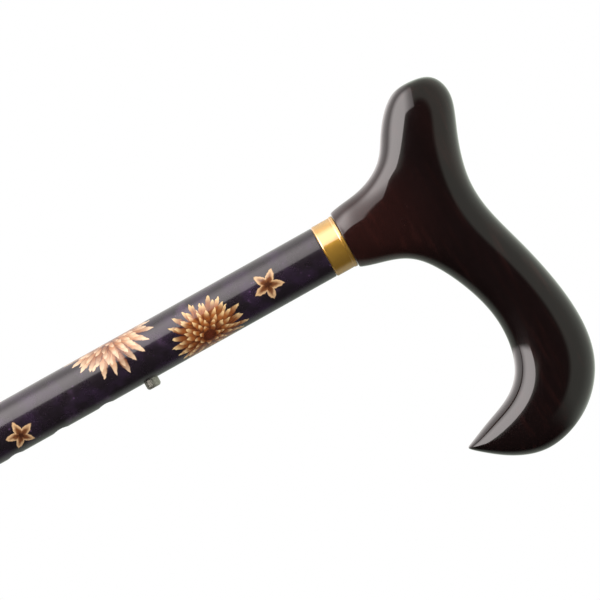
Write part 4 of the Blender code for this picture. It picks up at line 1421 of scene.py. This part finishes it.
@dataclass
class FoldJoint(SubAssembly):
    """One fold joint: what the tube above carries, what slides in it, and the plug below."""

    number: int
    seam: float
    upper: str
    lower: str
    radius: float = 0.00875
    held: float = 0.00725
    collar_radius: float = 0.0099
    collar_bore: float = 0.0090
    collar_height: float = 0.0140
    collar_bead: float = 0.00025
    bead_width: float = 0.0016
    band: float = 0.0070
    waist: float = 0.0016
    band_at: float = 0.011
    nose: float = 0.010
    nose_kept: float = 0.9
    flange_top: float = -0.0003
    flange_foot: float = -0.0018
    spigot_foot: float = -0.0260
    cable_hole: float = 0.0016
    spring_foot: float = 0.0308
    spring_length: float = 0.0519
    spring_keep: float = 0.455
    seat_foot: float = 0.0225
    seat_height: float = 0.0080
    pull: float = 0.0283
    sleeve: float = 0.0029
    stop_foot: float = 0.0831
    stop_height: float = 0.0110
    stop_flange: float = 0.00645
    flange_height: float = 0.0020
    ferrule_drop: float = 0.0343
    ferrule_height: float = 0.0080
    cable_foot: float = -0.0338
    cable_head: float = 0.0936
    bend_foot: float = 0.0192
    bend_head: float = 0.0291
    blend_foot: float = 0.0200
    rivet_start: float = 0.0053
    rivet_drop: float = 0.0130

    @property
    def slider(self) -> str:
        """The body that slides with the cable."""
        return f"cable_slider_{self.number}"

    def named(self, piece: str) -> str:
        """The CAD node's name for one of this joint's pieces."""
        return f"{piece}_{self.number}"

    def build_collar(self) -> None:
        """The brass collar round the mouth of the tube above, beaded at both ends."""
        side, height, bead = self.collar_radius, self.collar_height, self.collar_bead
        low = height - self.bead_width
        ends = [(side, height), (side + bead, height - bead), (side + bead, low), (side, low - bead)]
        profile = ends + [(radius, height - level) for radius, level in reversed(ends)]
        profile += [(self.collar_bore, 0.0), (self.collar_bore, height)]
        self.turn(self.named("joint_collar"), profile, Finishes.BRASS, self.upper, self.seam, 0.0003)

    def build_seat(self) -> None:
        """The spring seat with its flared mouth, and its rivet."""
        foot, height, hole = self.seam + self.seat_foot, self.seat_height, self.cable_hole
        profile = [(self.held - 0.0004, height), (self.held, height - 0.0004), (self.held, 0.0)]
        profile += arc((hole + 0.0016, 0.0026), (0.0016, 0.0026), 270, 180, 8)
        profile += [(hole, height)]
        seat = turned(self.named("spring_seat"), raised(rounded(profile, SOFT), foot), segments=64)
        spot = foot + height / 2
        self.fit(self.pierced(seat, Finishes.NYLON, spot, self.rivet_start), Finishes.NYLON, self.upper)
        self.rivet(self.named("seat_rivet"), spot, self.upper)

    def build_spring(self) -> None:
        """The compression spring, which shortens as the cable is pulled; here it is made at one length on the
        tube above.
        """
        base = link(self.named("cable_spring"), bpy.data.meshes.new("coil"))
        spring = self.rules.coil.make(base, Finishes.STEEL, {
            "Curls": 7, "Points per Curl": 44, "Coil Radius": 0.0050, "Wire Radius": 0.0006, "Sides": 14,
            "Foot": self.seam + self.spring_foot, "Length": self.spring_length, "End Pitch": 0.4,
        })
        self.fit(spring, Finishes.STEEL, self.upper)
        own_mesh(spring)

    def build_stop(self) -> None:
        """The cable stop: a flange, and a sleeve with three swaged grooves."""
        hole, sleeve, height = self.cable_hole, self.sleeve, self.stop_height
        wide, low = self.stop_flange, self.flange_height
        profile = [(sleeve - 0.0004, height), (sleeve, height - 0.0004)]
        profile += grooves(sleeve, sleeve - 0.0003, (0.0088, 0.0066, 0.0044), 0.0007, 0.0003)
        profile += [(sleeve, low), (wide, low), (wide, 0.0), (hole, 0.0), (hole, height)]
        foot = self.seam + self.stop_foot
        self.turn(self.named("cable_stop"), profile, Finishes.STEEL, self.slider, foot, segments=64)

    def build_cable(self) -> None:
        """The laid cable, straight, with closer steps where it opens into a loop round the hinge as the section
        swings.
        """
        stages = (self.cable_foot, self.bend_foot, self.bend_head, self.cable_head)
        foot, bend, straight, head = (self.seam + level for level in stages)
        levels = []
        for start, end, count in ((foot, bend, 56), (bend, straight, 72), (straight, head, 68)):
            levels += [start + (end - start) * i / count for i in range(count)]
        levels.append(head)
        name = self.named("pull_cable")
        mesh = bpy.data.meshes.new(name)
        mesh.from_pydata([(0.0, 0.0, z) for z in levels], [(i, i + 1) for i in range(len(levels) - 1)], [])
        cable = self.rules.cable.make(link(name, mesh), Finishes.STEEL, {
            "Strands": 6, "Strand Radius": 0.0004, "Lay Radius": 0.0008, "Lay Length": 0.012, "Sides": 10,
        })
        self.dress(cable, Finishes.STEEL)
        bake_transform(cable)
        LOG.info("%s: %d faces, from %s to %s", name, len(cable.data.polygons), self.slider, self.lower)

    def build_plug(self) -> None:
        """The waisted bullet plug with its flange and spigot, and its rivet."""
        hole = self.cable_hole
        top = self.band_at + self.nose_kept * self.nose
        reach = math.degrees(math.asin(self.nose_kept))
        profile = [(hole + 0.0009, top)]
        profile += arc((0.0, self.band_at), (self.band, self.nose), reach, 0, 14)
        for i in range(1, 17):
            off_middle = 1 - i / 8
            profile.append((self.band - self.waist * (1 - off_middle ** 2), self.band_at * (1 - i / 16)))
        rim, under, end = self.flange_top, self.flange_foot, self.spigot_foot
        profile += [
            (self.band, rim), (self.radius, rim), (self.radius, under), (self.held, under),
            (self.held, end + 0.001), (self.held - 0.001, end), (hole, end), (hole, top - 0.0009),
        ]
        plug = turned(self.named("joint_plug"), raised(rounded(profile, SOFT), self.seam))
        spot = self.seam - self.rivet_drop
        self.fit(self.pierced(plug, Finishes.NYLON, spot, self.rivet_start), Finishes.NYLON, self.lower)
        self.rivet(self.named("plug_rivet"), spot, self.lower)

    def build_ferrule(self) -> None:
        """The ferrule on the cable's lower end, crimped twice."""
        hole, sleeve, height = self.cable_hole, self.sleeve, self.ferrule_height
        profile = [(sleeve - 0.0003, height), (sleeve, height - 0.0003)]
        profile += grooves(sleeve, sleeve - 0.0003, (0.0056, 0.0026), 0.0008, 0.0004)
        profile += [(sleeve, 0.0003), (sleeve - 0.0003, 0.0), (hole, 0.0), (hole, height)]
        foot = self.seam - self.ferrule_drop
        self.turn(self.named("cable_ferrule"), profile, Finishes.STEEL, self.lower, foot, 0.00015, 48)

    def build(self) -> None:
        """Every piece of the joint."""
        self.build_collar()
        self.build_seat()
        self.build_spring()
        self.build_stop()
        self.build_cable()
        self.build_plug()
        self.build_ferrule()


@dataclass
class SectionTube(SubAssembly):
    """The printed tube of one lower section."""

    name: str
    body: str
    foot: float
    head: float
    rivets: tuple[float, ...]
    radius: float = 0.00875
    bore: float = 0.00755
    rivet_start: float = 0.0060

    def build(self) -> None:
        """The tube, with the holes of its rivets."""
        tube = turned(self.name, pipe(self.radius, self.bore, self.foot, self.head))
        for height in self.rivets:
            tube = self.pierced(tube, Finishes.PRINT_LOWER, height, self.rivet_start)
        self.fit(tube, Finishes.PRINT_LOWER, self.body)


@dataclass
class RubberTip(SubAssembly):
    """The ribbed rubber tip with its grooved tread, and the washer in it."""

    body: str = "section_4"
    foot_radius: float = 0.0160
    foot_height: float = 0.0080
    shoulder: float = 0.0022
    height: float = 0.0440
    mouth: float = 0.0114
    bore: float = 0.0090
    sole: float = 0.0080
    rib: float = 0.0007
    rib_height: float = 0.0030
    rib_pitch: float = 0.0080
    tread_pitch: float = 0.0044
    tread_depth: float = 0.0012
    washer_radius: float = 0.00845
    washer_hole: float = 0.0016
    washer_foot: float = 0.0083
    washer_head: float = 0.0098

    def side(self, height: float) -> float:
        """The body's radius, without its ribs.

        Args:
            height: the height over the floor.

        Returns:
            The radius there.
        """
        share = (height - self.foot_height) / (self.height - self.foot_height)
        body = self.foot_radius - self.shoulder
        return body + (self.mouth - body) * math.sin(share * math.pi / 2)

    def outer(self) -> list[Point]:
        """The outer side from the mouth down to the foot, with its ribs.

        Returns:
            The profile's points.
        """
        points = [(self.mouth - 0.0004, self.height), (self.mouth, self.height - 0.0004)]
        top = self.height - 0.006
        while top - self.rib_pitch > self.foot_height + self.rib_height:
            foot = top - self.rib_height
            points += [
                (self.side(top), top), (self.side(top) + self.rib, top - self.rib),
                (self.side(foot) + self.rib, foot + self.rib), (self.side(foot), foot),
            ]
            levels = [foot - (self.rib_pitch - self.rib_height) * step / 4 for step in range(1, 4)]
            points += [(self.side(level), level) for level in levels]
            top -= self.rib_pitch
        points += [(self.side(level), level) for level in (0.0130, 0.0100)]
        return points + [
            (self.foot_radius - self.shoulder, self.foot_height), (self.foot_radius, self.foot_height - 0.0018),
            (self.foot_radius, 0.001),
        ]

    def tread(self) -> list[Point]:
        """The tread from its rim inwards: round grooves and a flat pad.

        Returns:
            The profile's points.
        """
        rim = self.foot_radius - 0.001
        points = [(rim, 0.0)]
        groove = rim - self.tread_pitch / 2
        while groove - self.tread_pitch / 4 > 0.005:
            for step, level in ((2, 0.0), (1, self.tread_depth), (-1, self.tread_depth), (-2, 0.0)):
                points.append((groove + step * self.tread_pitch / 8, level))
            groove -= self.tread_pitch
        return points + [(0.0, 0.0)]

    def build(self) -> None:
        """The tip and its washer."""
        cup = [(0.0, self.sole), (self.bore, self.sole), (self.bore, self.height)]
        profile = rounded(cup + self.outer() + self.tread(), 0.0004, False)
        self.fit(turned("rubber_tip", profile, False, FINE), Finishes.RUBBER, self.body)
        radius, hole, foot, head, edge = (
            self.washer_radius, self.washer_hole, self.washer_foot, self.washer_head, 0.0004
        )
        ring = [
            (radius - edge, head), (radius, head - edge), (radius, foot + edge), (radius - edge, foot),
            (hole, foot), (hole, head),
        ]
        self.turn("tip_washer", ring, Finishes.STEEL, self.body, soft=0.0001, segments=64)


# Studio


@dataclass
class Studio:
    """A pale floor, soft lamps, a white backdrop and the camera."""

    aim: tuple[float, float, float] = (0.01109, 0.0, 0.75275)
    right: tuple[float, float, float] = (0.4879, 0.0, 0.8729)
    up: tuple[float, float, float] = (-0.8729, 0.0, 0.4879)
    distance: float = 2.0
    width: float = 0.221
    sensor: float = 36.0
    lamps: tuple[tuple[str, float, float, float], ...] = (
        ("lamp_nose_side", 50, 18, 2.3), ("lamp_above", 10, 72, 1.0), ("lamp_behind", 165, 25, 1.0),
    )
    fill: float = 0.42
    softness: float = 0.6
    floor_half: float = 6.0
    floor_dark: Colour = paint(226, 225, 222)
    floor_pale: Colour = paint(232, 231, 229)
    speck_scale: float = 30.0
    fade: tuple[float, float] = (0.35, 1.5)
    softbox_tint: Colour = (1.0, 0.94, 0.93, 1.0)
    wall_tint: Colour = (0.92, 1.0, 0.88, 1.0)

    def build_camera(self) -> None:
        """The camera square to the handle, rolled as in the photograph."""
        data = bpy.data.cameras.new("camera")
        data.sensor_width = self.sensor
        data.lens = self.sensor * self.distance / self.width
        data.clip_end = 50.0
        camera = bpy.data.objects.new("camera", data)
        bpy.context.scene.collection.objects.link(camera)
        turn = Matrix((self.right, self.up, (0.0, -1.0, 0.0))).transposed()
        place = Vector(self.aim) - Vector((0.0, self.distance, 0.0))
        camera.matrix_world = Matrix.Translation(place) @ turn.to_4x4()
        bpy.context.scene.camera = camera

    def toward(self, turn: float, rise: float) -> Vector:
        """A direction turn degrees from the camera's side, towards the nose, and rise over the level."""
        around, over = math.radians(turn), math.radians(rise)
        return Vector((-math.sin(around) * math.cos(over), -math.cos(around) * math.cos(over), math.sin(over)))

    def build_lamps(self) -> None:
        """Soft lamps a long way off, which gloss doesn't see: room gives what gloss sees."""
        for name, turn, rise, strength in self.lamps:
            data = bpy.data.lights.new(name, "SUN")
            data.angle = self.softness
            data.energy = strength
            made = bpy.data.objects.new(name, data)
            bpy.context.scene.collection.objects.link(made)
            way = self.toward(turn, rise)
            made.location = Vector(self.aim) + way * self.distance
            made.rotation_euler = (-way).to_track_quat("-Z", "Y").to_euler()
            made.visible_glossy = False

    def room(self, wiring: Wiring) -> Term:
        """What gloss sees of the studio, by direction.

        Args:
            wiring: the world's tree.

        Returns:
            The colour: the softbox, a grey wall over the camera, a dim room behind, a pale backdrop.
        """
        way = wiring.term("ShaderNodeTexCoord", output="Generated")
        sides = [self.right, self.up, (0.0, -1.0, 0.0)]
        right, up, near = (wiring.vectors("DOT_PRODUCT", way, side, output=1) for side in sides)
        upper_edge = (up - 0.183 * right - 0.350 * near).between(-0.01, 0.03)
        lower_edge = (0.578 * up - right - 0.615 * near).between(-0.01, 0.03)
        shaft_side = -0.906 * right - 0.423 * up
        floor_side = 0.940 * up - 0.340 * right
        softbox = upper_edge.most(lower_edge) * shaft_side.between(-0.01, 0.03) * floor_side.between(-0.03, 0.04)
        middle = shaft_side.between(0.0, 0.35)
        softbox = softbox * ((middle * 2.5 + 2.2) * near.between(-0.15, 0.50) + 1.3) * (middle * 0.45 + 0.55)
        low_corner = (0.788 * up + 0.616 * right).between(-0.15, 0.2) * right.between(0.0, 0.2)
        wall = (up + 0.1).between(-0.05, 0.05).most(low_corner) * near.between(0.94, 0.86)
        wall = wall * (near.between(0.60, -0.10) * 0.20 + 0.52)
        behind = near.between(-0.02, -0.55) * 0.30
        backdrop = near.between(-0.86, -0.97) * 0.5
        strength = softbox.most(wall).most(behind).most(backdrop) + 0.008
        tint = wiring.tint(softbox.unit(), self.wall_tint, self.softbox_tint)
        return wiring.vectors("SCALE", tint, Scale=strength)

    def build_world(self) -> None:
        """White where the camera looks past the cane, the room in gloss, and even fill light."""
        world = bpy.data.worlds.new("studio")
        bpy.context.scene.world = world
        world.use_nodes = True
        wiring = Wiring(world.node_tree)
        path = wiring.node("ShaderNodeLightPath")
        camera, glossy, through = (
            Term(wiring, path.outputs[key]) for key in ("Is Camera Ray", "Is Glossy Ray", "Is Transmission Ray")
        )
        colour = wiring.tint(glossy, (self.fill, self.fill, self.fill, 1.0), self.room(wiring))
        colour = wiring.tint(camera.most(through), colour, WHITE)
        back = world.node_tree.nodes["Background"].inputs
        wiring.put(1.0, back["Strength"])
        wiring.put(colour, back["Color"])

    def build_floor(self) -> None:
        """A pale matt floor under the tip, which the camera sees run out into white."""
        mesh = bpy.data.meshes.new("floor")
        half = self.floor_half
        mesh.from_pydata([(-half, -half, 0), (half, -half, 0), (half, half, 0), (-half, half, 0)], [], [range(4)])
        floor = link("floor", mesh)
        surface = Surface("pale_floor")
        place = surface.place()
        speck = surface.noise(place, self.speck_scale, 3.0)
        reach = surface.vectors("LENGTH", place, output=1)
        white = reach.between(*self.fade) * surface.term("ShaderNodeLightPath", output="Is Camera Ray")
        matt = surface.tint(speck, self.floor_dark, self.floor_pale)
        surface.feed(
            Base_Color=surface.tint(white, matt, BLACK), Emission_Color=surface.tint(white, BLACK, WHITE),
            Emission_Strength=1.0, Roughness=0.8,
        )
        mesh.materials.append(surface.material)
        floor.visible_glossy = False

    def build(self) -> None:
        """The whole studio."""
        bpy.context.scene.view_settings.view_transform = "Standard"
        self.build_camera()
        self.build_lamps()
        self.build_world()
        self.build_floor()


def main() -> None:
    """Build every sub-assembly in order, then the studio."""
    logging.basicConfig(level=logging.INFO, format="%(message)s")
    rules = Rules()
    joints = [
        FoldJoint(rules, 1, 0.540, "height_tube", "section_2"),
        FoldJoint(rules, 2, 0.365, "section_2", "section_3"),
        FoldJoint(rules, 3, 0.190, "section_3", "section_4"),
    ]
    tubes = [
        SectionTube(rules, "tube_2", "section_2", 0.3650, 0.5379, (0.5270, 0.3915)),
        SectionTube(rules, "tube_3", "section_3", 0.1900, 0.3629, (0.3520, 0.2165)),
        SectionTube(rules, "tube_4", "section_4", 0.0101, 0.1879, (0.1770,)),
    ]
    for assembly in (Handle(rules), OuterTube(rules), HeightTube(rules), *joints, *tubes, RubberTip(rules)):
        LOG.info("%s", type(assembly).__name__)
        assembly.build()
    Studio().build()


if __name__ == "__main__":
    main()
